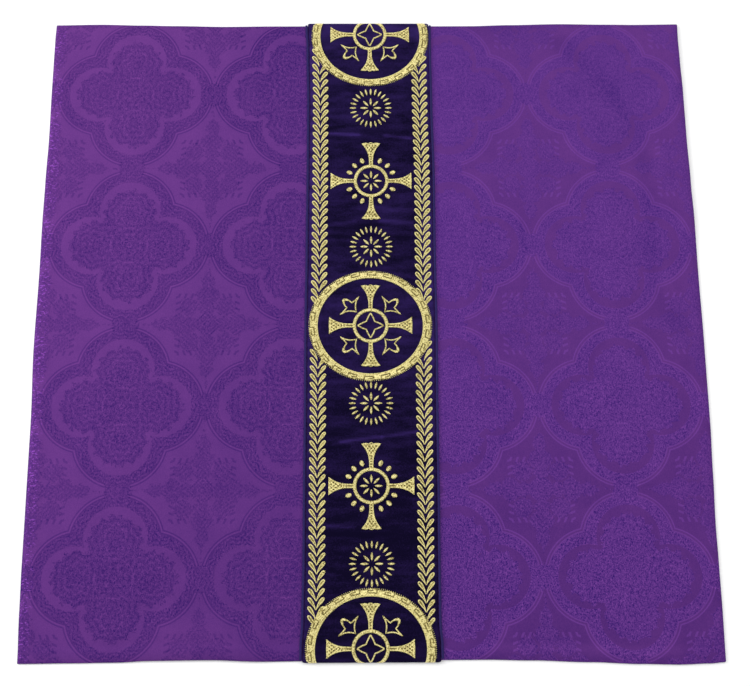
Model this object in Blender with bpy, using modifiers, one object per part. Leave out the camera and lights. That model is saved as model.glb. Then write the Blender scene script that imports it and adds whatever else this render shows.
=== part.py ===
"""Chalice veil, lying flat: a square violet damask cloth with a velvet orphrey
band down its middle, piping along the band, and raised gold embroidery.

Metres, +Z up. The origin is the middle of the footprint, on the surface that
the cloth lies on. +Y runs along the band, towards the far edge of the cloth.
"""

import math

import bmesh
import bpy
import numpy as np

MM = 0.001

# The cloth: half its finished side, the margin that its uneven edges reach into,
# the cells of its field and how far its blunt corners are drawn in
HALF_SIDE = 275 * MM
WARP_DEPTH = 100 * MM
FIELD_CELL = 17 * MM
CORNER_PULL = 0.9 * MM

# The space between one piece and the next, and under the embroidery
GAP = 0.3 * MM
EMBROIDERY_GAP = 0.4 * MM

# How far each edge lies outside the true square, at stations along it, in mm.
# Left and right are read along +Y, top and bottom along +X.
EDGE_COLUMNS = ("station", "left", "right", "top", "bottom")
EDGE_ROWS = (
    (-275, -1.3, 1.4, 0.0, -1.5),
    (-235, -0.4, 1.6, 0.6, -1.8),
    (-200, 0.0, 1.4, -0.2, -2.1),
    (-170, 0.0, 1.1, -0.8, -3.3),
    (-125, 0.1, 1.9, -1.6, -3.6),
    (-85, 0.1, 2.6, -1.2, -2.3),
    (-20, 1.6, 2.4, -1.1, -2.9),
    (50, 0.9, 1.7, -1.2, -2.9),
    (90, 1.1, 1.5, -1.1, -3.0),
    (125, 0.7, 0.7, -0.1, -2.3),
    (170, -0.1, -0.2, 0.8, -0.8),
    (210, 0.1, -0.4, 0.3, 0.8),
    (240, 0.0, -1.2, 0.0, 1.4),
    (262, -0.1, -1.6, -0.1, 0.7),
    (275, -0.5, -1.4, 0.1, -0.3),
)

# The turned hem: the cloth's thickness at lines set in from the edge, in mm
HEM_COLUMNS = ("inset", "thickness")
HEM_ROWS = ((0, 1.0), (1.5, 1.7), (9, 2.0), (13, 1.6))

# Soft lifts in the cloth: the ends of the crest, half the width and the rise, in mm
LIFT_COLUMNS = ("x0", "y0", "x1", "y1", "half_width", "rise")
CLOTH_LIFTS = (
    (150, 246, 196, 168, 36, 0.9),
    (198, 150, 206, 20, 34, 0.7),
    (268, 262, 270, 90, 38, 1.2),
    (104, 150, 108, 20, 22, 0.4),
    (-170, -262, -95, -262, 32, 0.9),
    (-250, 150, -248, 60, 26, 0.5),
    (-150, 40, -95, -30, 28, 0.4),
    (90, -130, 170, -160, 30, 0.5),
    (-225, -90, -160, -150, 28, 0.4),
)
BAND_LIFTS = (
    (-40, 170, 22, 168, 8, 0.7),
    (-44, 90, 30, 87, 7, 0.6),
    (-30, -92, 44, -95, 8, 0.6),
    (-46, -176, 40, -173, 7, 0.6),
    (-44, 217, 10, 214, 6, 0.4),
)
LIFT_FREE = 60 * MM
LIFT_FADE = 20 * MM

# The band: its outer edges, piping included, at stations along it, in mm
BAND_COLUMNS = ("station", "left", "right")
BAND_ROWS = (
    (-276, -55.4, 57.1),
    (-262, -55.3, 56.9),
    (-243, -54.2, 55.6),
    (-197, -53.6, 55.7),
    (-139, -53.7, 56.1),
    (-70, -53.5, 56.2),
    (-9, -53.7, 56.7),
    (64, -53.2, 56.3),
    (129, -53.0, 56.6),
    (196, -53.0, 55.6),
    (250, -54.0, 55.2),
    (276, -55.2, 55.4),
)
VELVET_THICKNESS = 1.3 * MM
VELVET_COLUMNS = 6
VELVET_ROW_STEP = 14 * MM
VELVET_FINE_STEP = 3.5 * MM
BAND_FAR_END = 276.0 * MM
BAND_NEAR_END = -273.8 * MM
END_TURN_RADIUS = 1.2 * MM
END_TURN_STEPS = 3
END_FLAT_INSET = 10 * MM
END_FLOOR_GAP = 0.2 * MM

# Where the band steps up on to the hem, as distances from the middle
HEM_STEP_START = 255 * MM
HEM_STEP_END = 260 * MM

PIPING_RADIUS = 1.0 * MM
PIPING_STEP = 14 * MM
PIPING_END_INSET = 0.8 * MM

# The embroidery, as raised pieces on the velvet
EMBROIDERY_THICKNESS = 1.0 * MM
ROUNDEL_HALF_WIDTH = 50.6 * MM
ROUNDEL_HALF_HEIGHT = 47.1 * MM
ROUNDEL_INNER_HALF_WIDTH = 43.7 * MM
ROUNDEL_INNER_HALF_HEIGHT = 41.2 * MM
ROUNDEL_STEPS = 64
ROUNDEL_CENTRES = {
    "roundel_top": (1.7 * MM, 262.2 * MM),
    "roundel_middle": (0.9 * MM, -2.1 * MM),
    "roundel_bottom": (0.3 * MM, -264.4 * MM),
}

CROSS_RING_RADIUS = 14.9 * MM
CROSS_RING_BREADTH = 2.85 * MM
CROSS_RING_STEPS = 32
CROSS_ARC_POINTS = 6
ARM_REACH = 34.3 * MM
ARM_NECK = 1.5 * MM
ARM_FLARE = 6.4 * MM
ARM_FLARE_POWER = 2.9
ARM_SHARES = (0, 0.3, 0.55, 0.75, 0.9, 1)
SCALLOP_NOTCH = (3.4 * MM, 33.0 * MM)
SCALLOP_CROWN = (1.5 * MM, 35.0 * MM)
CROSS_CENTRES = {
    "cross_top": (1.45 * MM, 264.1 * MM),
    "cross_upper": (2.1 * MM, 126.2 * MM),
    "cross_middle": (1.15 * MM, -2.15 * MM),
    "cross_lower": (1.2 * MM, -136.0 * MM),
    "cross_bottom": (0.05 * MM, -263.2 * MM),
}

# The leaf borders: how far their stems run inside the band's edges, and one leaf's
# outline, as distances from the stem and above the leaf's own place, in mm
LEAF_PITCH = 6.95 * MM
LEAF_STEM_INSETS = {
    ("upper", "left"): 11.6 * MM,
    ("upper", "right"): 11.2 * MM,
    ("lower", "left"): 11.3 * MM,
    ("lower", "right"): 11.8 * MM,
}
LEAF_COLUMNS = ("aside", "above")
LEAF_ROWS = ((3.2, 0.4), (4.6, 1.5), (6.4, 0.9), (6.5, -0.7))
LEAF_FOOT = 5.0 * MM
LEAF_FOOT_HALF = 2.2 * MM
LEAF_RUNS = {"upper": (19.5 * MM, 238.6 * MM), "lower": (-242.0 * MM, -24.4 * MM)}
LEAF_CLEARANCE = 0.4 * MM

# How far the borders are stretched or drawn in, at stations along the band, in mm
SLACK_COLUMNS = ("station", "left", "right")
SLACK_ROWS = (
    (-245, 0.6, -1.6),
    (-120, 0.6, -0.3),
    (-24, 0.6, 0.6),
    (30, -1.5, -1.5),
    (70, -0.4, -0.4),
    (126, 0.3, 0.3),
    (200, 1.0, 1.0),
    (218, 1.9, 1.9),
    (245, 3.5, 3.5),
)
CUTTER_HEIGHT = 20 * MM


def column(rows, columns, name):
    """One named column of a table, in metres."""
    return np.array([row[columns.index(name)] for row in rows]) * MM


def eased(stations, values, at):
    """Values between stations, joined by half cosine waves."""
    at = np.clip(at, stations[0], stations[-1])
    low = np.clip(np.searchsorted(stations, at, side="right") - 1, 0, len(stations) - 2)
    share = (at - stations[low]) / (stations[low + 1] - stations[low])
    blend = (1 - np.cos(math.pi * share)) / 2
    return values[low] * (1 - blend) + values[low + 1] * blend


def edge_offset(side, along):
    """How far the named edge lies outside the true square."""
    stations = column(EDGE_ROWS, EDGE_COLUMNS, "station")
    return eased(stations, column(EDGE_ROWS, EDGE_COLUMNS, side), along)


def band_edge(side, along):
    """X of the band's outer edge, piping included."""
    stations = column(BAND_ROWS, BAND_COLUMNS, "station")
    return eased(stations, column(BAND_ROWS, BAND_COLUMNS, side), along)


def named_lifts(rows):
    """The rows of a table of lifts, each as its named columns in metres."""
    return [dict(zip(LIFT_COLUMNS, np.array(row) * MM)) for row in rows]


def lifts(rows, x, y):
    """Sum of soft ridges, each a squared cosine of the distance to its crest."""
    height = np.zeros(np.shape(x))
    for lift in named_lifts(rows):
        run_x = lift["x1"] - lift["x0"]
        run_y = lift["y1"] - lift["y0"]
        from_x = x - lift["x0"]
        from_y = y - lift["y0"]
        share = np.clip((from_x * run_x + from_y * run_y) / (run_x ** 2 + run_y ** 2), 0, 1)
        far = np.hypot(from_x - share * run_x, from_y - share * run_y)
        turn = math.pi / 2 * np.minimum(far / lift["half_width"], 1)
        height += lift["rise"] * np.cos(turn) ** 2
    return height


def cloth_lift(x, y):
    """Height of the cloth's underside; it lies down flat under the band."""
    beside = np.clip((np.abs(x) - LIFT_FREE) / LIFT_FADE, 0, 1)
    return lifts(CLOTH_LIFTS, x, y) * beside * beside * (3 - 2 * beside)


def hem_thickness(x, y):
    """Thickness of the cloth at a distance in from its nearest edge."""
    inset = np.minimum(HALF_SIDE - np.abs(x), HALF_SIDE - np.abs(y))
    return np.interp(
        inset,
        column(HEM_ROWS, HEM_COLUMNS, "inset"),
        column(HEM_ROWS, HEM_COLUMNS, "thickness"),
    )


def band_floor(y):
    """Height just clear of the cloth under the band, stepping up on to its hem."""
    thickness = column(HEM_ROWS, HEM_COLUMNS, "thickness")
    share = np.clip((np.abs(y) - HEM_STEP_START) / (HEM_STEP_END - HEM_STEP_START), 0, 1)
    return GAP + thickness[-1] + share * (thickness.max() - thickness[-1])


def velvet_underside(x, y):
    """Height of the velvet's underside between its turned ends."""
    return band_floor(y) + lifts(BAND_LIFTS, x, y)


def embroidery_underside(x, y):
    """Height of the raised embroidery's underside."""
    return velvet_underside(x, y) + VELVET_THICKNESS + EMBROIDERY_GAP


def new_collection(name):
    """A collection linked to the scene."""
    collection = bpy.data.collections.new(name)
    bpy.context.scene.collection.children.link(collection)
    return collection


def new_material(name, color, roughness, metallic=0.0, sheen=0.0):
    """A Principled material of one colour."""
    material = bpy.data.materials.new(name)
    material.use_nodes = True
    shader = material.node_tree.nodes["Principled BSDF"]
    shader.inputs["Base Color"].default_value = (*color, 1)
    shader.inputs["Roughness"].default_value = roughness
    shader.inputs["Metallic"].default_value = metallic
    shader.inputs["Sheen Weight"].default_value = sheen
    material.diffuse_color = (*color, 1)
    return material


def settle(obj, name, collection, material):
    """Name an object, give it its material and keep it in one collection."""
    obj.name = name
    obj.data.name = name
    for owner in list(obj.users_collection):
        owner.objects.unlink(obj)
    collection.objects.link(obj)
    obj.data.materials.append(material)
    return obj


def new_grid(columns, rows):
    """A grid of the given numbers of cells, and its points' column and row numbers."""
    bpy.ops.mesh.primitive_grid_add(x_subdivisions=columns, y_subdivisions=rows, size=2)
    grid = bpy.context.object
    flat = np.empty(len(grid.data.vertices) * 3)
    grid.data.vertices.foreach_get("co", flat)
    places = flat.reshape(-1, 3)
    across = np.rint((places[:, 0] + 1) / 2 * columns).astype(int)
    along = np.rint((places[:, 1] + 1) / 2 * rows).astype(int)
    return grid, across, along


def move_points(obj, x, y, z):
    """Put an object's points at the given coordinates."""
    obj.data.vertices.foreach_set("co", np.stack((x, y, z), axis=1).ravel())
    obj.data.update()


def add_thickness(obj, thickness, group=""):
    """A Solidify modifier that grows outwards from the faces."""
    solidify = obj.modifiers.new("Thickness", "SOLIDIFY")
    solidify.thickness = thickness
    solidify.offset = 1
    solidify.use_even_offset = True
    solidify.vertex_group = group


def cloth_lines():
    """Grid lines across the cloth: close together at the hems, even between."""
    insets = column(HEM_ROWS, HEM_COLUMNS, "inset")
    reach = HALF_SIDE - insets[-1]
    cells = round(2 * reach / FIELD_CELL)
    field = np.linspace(-reach, reach, cells + 1)[1:-1]
    return np.concatenate((insets - HALF_SIDE, field, HALF_SIDE - insets[::-1]))


def near_edge(place):
    """How much of an edge's offset a place takes: all at the edge, none further in."""
    return np.clip(1 - (HALF_SIDE - place) / WARP_DEPTH, 0, 1)


def make_cloth(collection, material):
    """The damask square with its uneven outline, hem and soft lifts."""
    lines = cloth_lines()
    cells = len(lines) - 1
    cloth, across, along = new_grid(cells, cells)
    x = lines[across]
    y = lines[along]
    warped_x = x + near_edge(x) * edge_offset("right", y) - near_edge(-x) * edge_offset("left", y)
    warped_y = y + near_edge(y) * edge_offset("top", x) - near_edge(-y) * edge_offset("bottom", x)
    corner = (np.abs(x) == HALF_SIDE) & (np.abs(y) == HALF_SIDE)
    warped_x -= corner * np.sign(x) * CORNER_PULL
    warped_y -= corner * np.sign(y) * CORNER_PULL
    move_points(cloth, warped_x, warped_y, cloth_lift(x, y))
    thickness = hem_thickness(x, y)
    group = cloth.vertex_groups.new(name="Cloth thickness")
    for number, share in enumerate(thickness / thickness.max()):
        group.add([number], share, "REPLACE")
    add_thickness(cloth, thickness.max(), group.name)
    return settle(cloth, "veil_cloth", collection, material)


def velvet_path():
    """The velvet's underside along its length, turned down at both ends.

    The path is given as places along +Y and drops below the flat stretch.
    Rows stand closer where a wrinkle crosses the band.
    """
    far = BAND_FAR_END - VELVET_THICKNESS
    near = BAND_NEAR_END + VELVET_THICKNESS
    flat_rows = list(np.arange(near, far, VELVET_ROW_STEP))
    flat_rows = [place for place in flat_rows if abs(place) < HEM_STEP_START - VELVET_FINE_STEP]
    flat_rows += [-HEM_STEP_END, -HEM_STEP_START, HEM_STEP_START, HEM_STEP_END]
    flat_rows += [near + END_FLAT_INSET / 2, far - END_FLAT_INSET / 2]
    for lift in named_lifts(BAND_LIFTS):
        crest = (lift["y0"] + lift["y1"]) / 2
        reach = lift["half_width"] + VELVET_FINE_STEP
        flat_rows = [place for place in flat_rows if abs(place - crest) > reach]
        flat_rows += list(np.arange(crest - reach, crest + reach, VELVET_FINE_STEP))
    turns = np.linspace(0, math.pi / 2, END_TURN_STEPS + 1)
    out = END_TURN_RADIUS * np.sin(turns)
    down = END_TURN_RADIUS * (1 - np.cos(turns))
    full_drop = band_floor(far) - END_FLOOR_GAP
    far_turn = far - END_TURN_RADIUS + out
    near_turn = (near + END_TURN_RADIUS - out)[::-1]
    places = np.concatenate(([near], near_turn, sorted(flat_rows), far_turn, [far]))
    drops = np.concatenate(([full_drop], down[::-1], np.zeros(len(flat_rows)), down, [full_drop]))
    return places, drops


def make_velvet(collection, material):
    """The orphrey band, turned down over the cloth's two edges."""
    places, drops = velvet_path()
    velvet, across, along = new_grid(VELVET_COLUMNS, len(places) - 1)
    inset = 2 * PIPING_RADIUS + GAP
    y = places[along]
    left = band_edge("left", y) + inset
    right = band_edge("right", y) - inset
    x = left + (right - left) * across / VELVET_COLUMNS
    move_points(velvet, x, y, velvet_underside(x, y) - drops[along])
    add_thickness(velvet, VELVET_THICKNESS)
    return settle(velvet, "orphrey_band", collection, material)


def make_piping(side, collection, material):
    """A round piping that lies on the cloth, close against the velvet."""
    far = HALF_SIDE + edge_offset("top", band_edge(side, HALF_SIDE)) - PIPING_END_INSET
    near = -HALF_SIDE - edge_offset("bottom", band_edge(side, -HALF_SIDE)) + PIPING_END_INSET
    inner = np.linspace(-HEM_STEP_START, HEM_STEP_START, round(2 * HEM_STEP_START / PIPING_STEP) + 1)
    y = np.concatenate(([near, -HEM_STEP_END], inner, [HEM_STEP_END, far]))
    inward = PIPING_RADIUS if side == "left" else -PIPING_RADIUS
    x = band_edge(side, y) + inward
    z = band_floor(y) + PIPING_RADIUS
    curve = bpy.data.curves.new("Piping path", "CURVE")
    curve.dimensions = "3D"
    curve.bevel_depth = PIPING_RADIUS
    curve.bevel_resolution = 2
    curve.use_fill_caps = True
    spline = curve.splines.new("POLY")
    spline.points.add(len(y) - 1)
    points = np.stack((x, y, z, np.ones(len(y))), axis=1)
    spline.points.foreach_set("co", points.ravel())
    piping = bpy.data.objects.new("Piping", curve)
    bpy.context.scene.collection.objects.link(piping)
    return settle(piping, f"piping_{side}", collection, material)


def flat_piece(name, outlines, collection, material):
    """A flat plate with the given outlines, as a mesh laid on the velvet."""
    curve = bpy.data.curves.new("Outline", "CURVE")
    curve.dimensions = "2D"
    curve.fill_mode = "BOTH"
    curve.extrude = EMBROIDERY_THICKNESS / 2
    for outline in outlines:
        spline = curve.splines.new("POLY")
        spline.points.add(len(outline) - 1)
        fill = np.zeros((len(outline), 2))
        fill[:, 1] = 1
        spline.points.foreach_set("co", np.hstack((outline, fill)).ravel())
        spline.use_cyclic_u = True
    sketch = bpy.data.objects.new("Outline", curve)
    bpy.context.scene.collection.objects.link(sketch)
    bpy.context.view_layer.update()
    shape = sketch.evaluated_get(bpy.context.evaluated_depsgraph_get())
    mesh = bpy.data.meshes.new_from_object(shape)
    bpy.data.objects.remove(sketch)
    weld(mesh)
    flat = np.empty(len(mesh.vertices) * 3)
    mesh.vertices.foreach_get("co", flat)
    x, y, z = flat.reshape(-1, 3).T
    piece = bpy.data.objects.new(name, mesh)
    bpy.context.scene.collection.objects.link(piece)
    level = embroidery_underside(x, y) + EMBROIDERY_THICKNESS / 2
    move_points(piece, x, y, z + level)
    return settle(piece, name, collection, material)


def weld(mesh):
    """Join the loose rims of a mesh made from a curve, with its faces outwards."""
    work = bmesh.new()
    work.from_mesh(mesh)
    bmesh.ops.remove_doubles(work, verts=work.verts, dist=0.01 * MM)
    bmesh.ops.recalc_face_normals(work, faces=work.faces)
    work.to_mesh(mesh)
    work.free()


def at_level(start, end, level):
    """The point between two others where y reaches a level."""
    share = (level - start[1]) / (end[1] - start[1])
    return start + share * (end - start)


def open_outline(outer, inner, centre):
    """Outline of what is left of a ring that one end of the band cuts across.

    Each loop is turned to start just inside the end, kept up to where it
    leaves, and closed with a point on the end itself at both sides.
    """
    margin = VELVET_THICKNESS + END_TURN_RADIUS
    limit = BAND_FAR_END - margin if centre[1] > 0 else BAND_NEAR_END + margin
    sides = []
    for loop in (outer, inner):
        inside = (limit - loop[:, 1]) * math.copysign(1, centre[1]) > 0
        start = int(np.argmax(inside & ~np.roll(inside, 1)))
        turned = np.roll(loop, -start, axis=0)
        count = int(np.argmin(np.roll(inside, -start)))
        first = at_level(turned[-1], turned[0], limit)
        last = at_level(turned[count - 1], turned[count], limit)
        sides.append(np.vstack((first, turned[:count], last)))
    return np.vstack((sides[0], sides[1][::-1]))


def ellipse(centre, half_width, half_height, steps):
    """Points round an ellipse, anticlockwise."""
    turn = np.linspace(0, 2 * math.pi, steps, endpoint=False)
    return np.stack(
        (centre[0] + half_width * np.cos(turn), centre[1] + half_height * np.sin(turn)), axis=1
    )


def is_cut(centre, reach):
    """Whether a motif of this reach runs over an end of the band."""
    return abs(centre[1]) + reach > min(BAND_FAR_END, -BAND_NEAR_END)


def make_roundel(name, centre, collection, material):
    """An embroidered ring round a cross, cut off where the band ends."""
    outer = ellipse(centre, ROUNDEL_HALF_WIDTH, ROUNDEL_HALF_HEIGHT, ROUNDEL_STEPS)
    inner = ellipse(centre, ROUNDEL_INNER_HALF_WIDTH, ROUNDEL_INNER_HALF_HEIGHT, ROUNDEL_STEPS)
    cut = is_cut(centre, ROUNDEL_HALF_HEIGHT)
    outlines = [open_outline(outer, inner, centre)] if cut else [outer, inner]
    return flat_piece(name, outlines, collection, material)


def arm_outline():
    """One flared arm that points along +X, from its root round its scalloped end."""
    root = math.sqrt(CROSS_RING_RADIUS ** 2 - ARM_NECK ** 2)
    share = np.array(ARM_SHARES)
    along = root + share * (ARM_REACH - root)
    half_width = ARM_NECK + ARM_FLARE * share ** ARM_FLARE_POWER
    lower = np.stack((along, -half_width), axis=1)
    notch = np.array((SCALLOP_NOTCH[1], -SCALLOP_NOTCH[0]))
    crown = np.array((SCALLOP_CROWN[1], -SCALLOP_CROWN[0]))
    half = np.vstack((lower, notch, crown))
    return np.vstack((half, half[::-1] * (1, -1)))


def cross_outline(centre):
    """A ring with four arms, as one outline, anticlockwise from the right arm."""
    arm = arm_outline()
    half_gap = math.asin(ARM_NECK / CROSS_RING_RADIUS)
    turns = np.linspace(half_gap, math.pi / 2 - half_gap, CROSS_ARC_POINTS + 2)[1:-1]
    arc = CROSS_RING_RADIUS * np.stack((np.cos(turns), np.sin(turns)), axis=1)
    quarter = np.vstack((arm, arc))
    parts = []
    for number in range(4):
        angle = number * math.pi / 2
        turned = np.array(
            ((math.cos(angle), math.sin(angle)), (-math.sin(angle), math.cos(angle)))
        )
        parts.append(quarter @ turned)
    return np.vstack(parts) + centre


def make_cross(name, centre, collection, material):
    """A flared cross on a ring, cut off where the band ends."""
    outer = cross_outline(centre)
    inner_radius = CROSS_RING_RADIUS - CROSS_RING_BREADTH
    inner = ellipse(centre, inner_radius, inner_radius, CROSS_RING_STEPS)
    cut = is_cut(centre, ARM_REACH)
    outlines = [open_outline(outer, inner, centre)] if cut else [outer, inner]
    return flat_piece(name, outlines, collection, material)


def stem_place(run, side, along):
    """X of a leaf border's stem, which keeps its distance from the band's edge."""
    inset = LEAF_STEM_INSETS[run, side]
    return band_edge(side, along) + (inset if side == "left" else -inset)


def leaf_shift(side, along):
    """How far a border was stretched or drawn in along the band at a place."""
    stations = column(SLACK_ROWS, SLACK_COLUMNS, "station")
    return eased(stations, column(SLACK_ROWS, SLACK_COLUMNS, side), along)


def leaf_edge(run, side, facing, tops):
    """The toothed edge of one side of a border, from its highest leaf down."""
    aside = facing * column(LEAF_ROWS, LEAF_COLUMNS, "aside")
    above = column(LEAF_ROWS, LEAF_COLUMNS, "above")
    teeth = [np.stack((stem_place(run, side, top) + aside, top + above), axis=1) for top in tops]
    return np.vstack(teeth)


def make_leaves(run, side, collection, material):
    """A border of paired leaves along a stem, with a narrow foot."""
    low, high = LEAF_RUNS[run]
    tops = high - LEAF_PITCH * np.arange(int((high - low) / LEAF_PITCH))
    tops = tops + leaf_shift(side, tops)
    foot_level = tops[-1] - LEAF_FOOT
    foot_middle = stem_place(run, side, foot_level)
    foot = np.array(
        ((foot_middle + LEAF_FOOT_HALF, foot_level), (foot_middle - LEAF_FOOT_HALF, foot_level))
    )
    right = leaf_edge(run, side, 1, tops)
    left = leaf_edge(run, side, -1, tops)[::-1]
    outline = np.vstack((right, foot, left))
    return flat_piece(f"leaves_{run}_{side}", [outline], collection, material)


def make_cutter(centre, collection):
    """An oval block, a little larger than a roundel, that clears its place."""
    bpy.ops.mesh.primitive_cylinder_add(vertices=ROUNDEL_STEPS, radius=1, depth=CUTTER_HEIGHT)
    cutter = bpy.context.object
    cutter.scale = (
        ROUNDEL_HALF_WIDTH + LEAF_CLEARANCE,
        ROUNDEL_HALF_HEIGHT + LEAF_CLEARANCE,
        1,
    )
    bpy.ops.object.transform_apply(location=False, rotation=False, scale=True)
    cutter.location = (*centre, 0)
    cutter.hide_render = True
    cutter.display_type = "WIRE"
    for owner in list(cutter.users_collection):
        owner.objects.unlink(cutter)
    collection.objects.link(cutter)
    return cutter


def cut_away(obj, cutter):
    """Cut a piece with a block."""
    boolean = obj.modifiers.new("Clear the roundel", "BOOLEAN")
    boolean.operation = "DIFFERENCE"
    boolean.solver = "EXACT"
    boolean.object = cutter


def build():
    """Clear the scene and make every piece of the veil."""
    for obj in list(bpy.data.objects):
        bpy.data.objects.remove(obj)
    veil = new_collection("Chalice veil")
    cutters = new_collection("Cutters")
    damask = new_material("Violet damask", (0.135, 0.036, 0.262), 0.55, sheen=0.2)
    velvet = new_material("Dark violet velvet", (0.020, 0.007, 0.058), 0.9, sheen=0.6)
    cord = new_material("Navy piping", (0.023, 0.019, 0.115), 0.6)
    gold = new_material("Gold thread", (0.730, 0.610, 0.230), 0.38, metallic=0.35)

    make_cloth(veil, damask)
    make_velvet(veil, velvet)
    for side in ("left", "right"):
        make_piping(side, veil, cord)
    for name, centre in ROUNDEL_CENTRES.items():
        make_roundel(name, centre, veil, gold)
    for name, centre in CROSS_CENTRES.items():
        make_cross(name, centre, veil, gold)
    blocks = {name: make_cutter(centre, cutters) for name, centre in ROUNDEL_CENTRES.items()}
    neighbours = {
        "upper": ("roundel_top", "roundel_middle"),
        "lower": ("roundel_middle", "roundel_bottom"),
    }
    for run in LEAF_RUNS:
        for side in ("left", "right"):
            border = make_leaves(run, side, veil, gold)
            for roundel in neighbours[run]:
                cut_away(border, blocks[roundel])


build()
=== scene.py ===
"""The looks of a chalice veil: violet damask, a velvet orphrey band with navy piping
and raised gold embroidery. Metres, +Z up, the cloth lying on the surface at z = 0."""

import math

import bpy
import numpy as np
from mathutils import Matrix, Vector


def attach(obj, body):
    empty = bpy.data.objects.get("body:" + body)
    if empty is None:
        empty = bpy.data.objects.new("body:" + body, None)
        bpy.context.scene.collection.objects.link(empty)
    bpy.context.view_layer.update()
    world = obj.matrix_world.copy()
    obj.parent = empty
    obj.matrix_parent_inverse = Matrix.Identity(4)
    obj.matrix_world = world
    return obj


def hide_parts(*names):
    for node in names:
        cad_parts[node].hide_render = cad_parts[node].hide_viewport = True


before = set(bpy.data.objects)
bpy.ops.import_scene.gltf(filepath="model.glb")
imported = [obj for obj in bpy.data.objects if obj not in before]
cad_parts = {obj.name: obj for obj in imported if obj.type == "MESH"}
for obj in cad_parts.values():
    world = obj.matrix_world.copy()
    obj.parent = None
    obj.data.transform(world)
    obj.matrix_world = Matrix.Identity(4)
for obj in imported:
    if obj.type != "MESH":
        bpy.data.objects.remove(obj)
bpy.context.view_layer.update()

MM = 0.001


# The camera stands at the near side of the cloth and looks down at its middle.
CAMERA_PLACE = (-5.456 * MM, -313.694 * MM, 1076.432 * MM)
CAMERA_PITCH = math.radians(15.4536)
CAMERA_YAW = math.radians(-1.9617)
CAMERA_ROLL = math.radians(1.7256)

camera_data = bpy.data.cameras.new("Camera")
camera_data.sensor_width = 36
camera_data.lens = 64.8
camera = bpy.data.objects.new("Camera", camera_data)
bpy.context.scene.collection.objects.link(camera)
camera.matrix_world = (
    Matrix.Translation(CAMERA_PLACE)
    @ Matrix.Rotation(CAMERA_YAW, 4, "Z")
    @ Matrix.Rotation(CAMERA_PITCH, 4, "X")
    @ Matrix.Rotation(CAMERA_ROLL, 4, "Z")
)
bpy.context.scene.camera = camera


# The studio: a white floor, an even white surround, a soft light above the far edge
# and a key light from the left that rakes across the threads.
scene = bpy.context.scene
scene.view_settings.view_transform = "Standard"
scene.view_settings.look = "None"
SURROUND_STRENGTH = 0.80
FLOOR_HALF_SIDE = 6.0
FLOOR_DEPTH = 0.2 * MM

world = bpy.data.worlds.new("White surround")
scene.world = world
world.use_nodes = True
world.node_tree.nodes["Background"].inputs["Color"].default_value = (1, 1, 1, 1)
world.node_tree.nodes["Background"].inputs["Strength"].default_value = SURROUND_STRENGTH


def soft_light(name, place, aim, side, power):
    """A square area light at a place, turned to face a point."""
    data = bpy.data.lights.new(name, "AREA")
    data.size = side
    data.energy = power
    light = bpy.data.objects.new(name, data)
    scene.collection.objects.link(light)
    facing = Vector(aim) - Vector(place)
    light.matrix_world = Matrix.Translation(place) @ facing.to_track_quat("-Z", "Y").to_matrix().to_4x4()


soft_light("Key from the left", (-1.30, 0.35, 0.95), (0, 0, 0), 0.7, 11)
soft_light("Light above", (0.25, 0.75, 1.70), (0, 0, 0), 1.3, 9)

floor_data = bpy.data.meshes.new("Floor")
floor_corners = [
    (x * FLOOR_HALF_SIDE, y * FLOOR_HALF_SIDE, -FLOOR_DEPTH) for x, y in ((-1, -1), (1, -1), (1, 1), (-1, 1))
]
floor_data.from_pydata(floor_corners, [], [(0, 1, 2, 3)])
floor = bpy.data.objects.new("Floor", floor_data)
scene.collection.objects.link(floor)
floor_white = bpy.data.materials.new("White floor")
floor_white.use_nodes = True
floor_white.node_tree.nodes["Principled BSDF"].inputs["Base Color"].default_value = (0.93, 0.93, 0.93, 1)
floor_white.node_tree.nodes["Principled BSDF"].inputs["Roughness"].default_value = 0.9
floor_data.materials.append(floor_white)


# The veil's cloth: a square of violet silk damask with a narrow hem turned to the back.
# It lies flat, with slack lifts where it was folded. Its warp and weft float in turn,
# which draws quatrefoils in figured bands, and stars between, in the one colour.
HALF_SIDE = 275 * MM
WARP_DEPTH = 100 * MM
CORNER_PULL = 0.9 * MM
CLOTH_CELL = 2.62 * MM
EDGE_COLUMNS = ("station", "left", "right", "top", "bottom")
EDGE_ROWS = (
    (-275, -1.3, 1.4, 0.0, -1.5),
    (-235, -0.4, 1.6, 0.6, -1.8),
    (-200, 0.0, 1.4, -0.2, -2.1),
    (-170, 0.0, 1.1, -0.8, -3.3),
    (-125, 0.1, 1.9, -1.6, -3.6),
    (-85, 0.1, 2.6, -1.2, -2.3),
    (-20, 1.6, 2.4, -1.1, -2.9),
    (50, 0.9, 1.7, -1.2, -2.9),
    (90, 1.1, 1.5, -1.1, -3.0),
    (125, 0.7, 0.7, -0.1, -2.3),
    (170, -0.1, -0.2, 0.8, -0.8),
    (210, 0.1, -0.4, 0.3, 0.8),
    (240, 0.0, -1.2, 0.0, 1.4),
    (262, -0.1, -1.6, -0.1, 0.7),
    (275, -0.5, -1.4, 0.1, -0.3),
)
HEM_COLUMNS = ("inset", "thickness")
HEM_ROWS = ((0, 0.9), (0.5, 1.45), (1.5, 1.85), (4, 2.0), (9, 2.0), (11, 1.8), (13, 1.6))
HEM_TURN_INSET = 10.5 * MM
HEM_TURN_RISE = 0.3 * MM
LIFT_COLUMNS = ("x0", "y0", "x1", "y1", "half_width", "rise")
CLOTH_LIFTS = (
    (150, 246, 196, 168, 36, 0.9),
    (198, 150, 206, 20, 34, 0.7),
    (268, 262, 270, 90, 38, 1.2),
    (104, 150, 108, 20, 22, 0.4),
    (-170, -262, -95, -262, 32, 0.9),
    (-250, 150, -248, 60, 26, 0.5),
    (-150, 40, -95, -30, 28, 0.4),
    (90, -130, 170, -160, 30, 0.5),
    (-225, -90, -160, -150, 28, 0.4),
)
LIFT_FREE = 60 * MM
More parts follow.
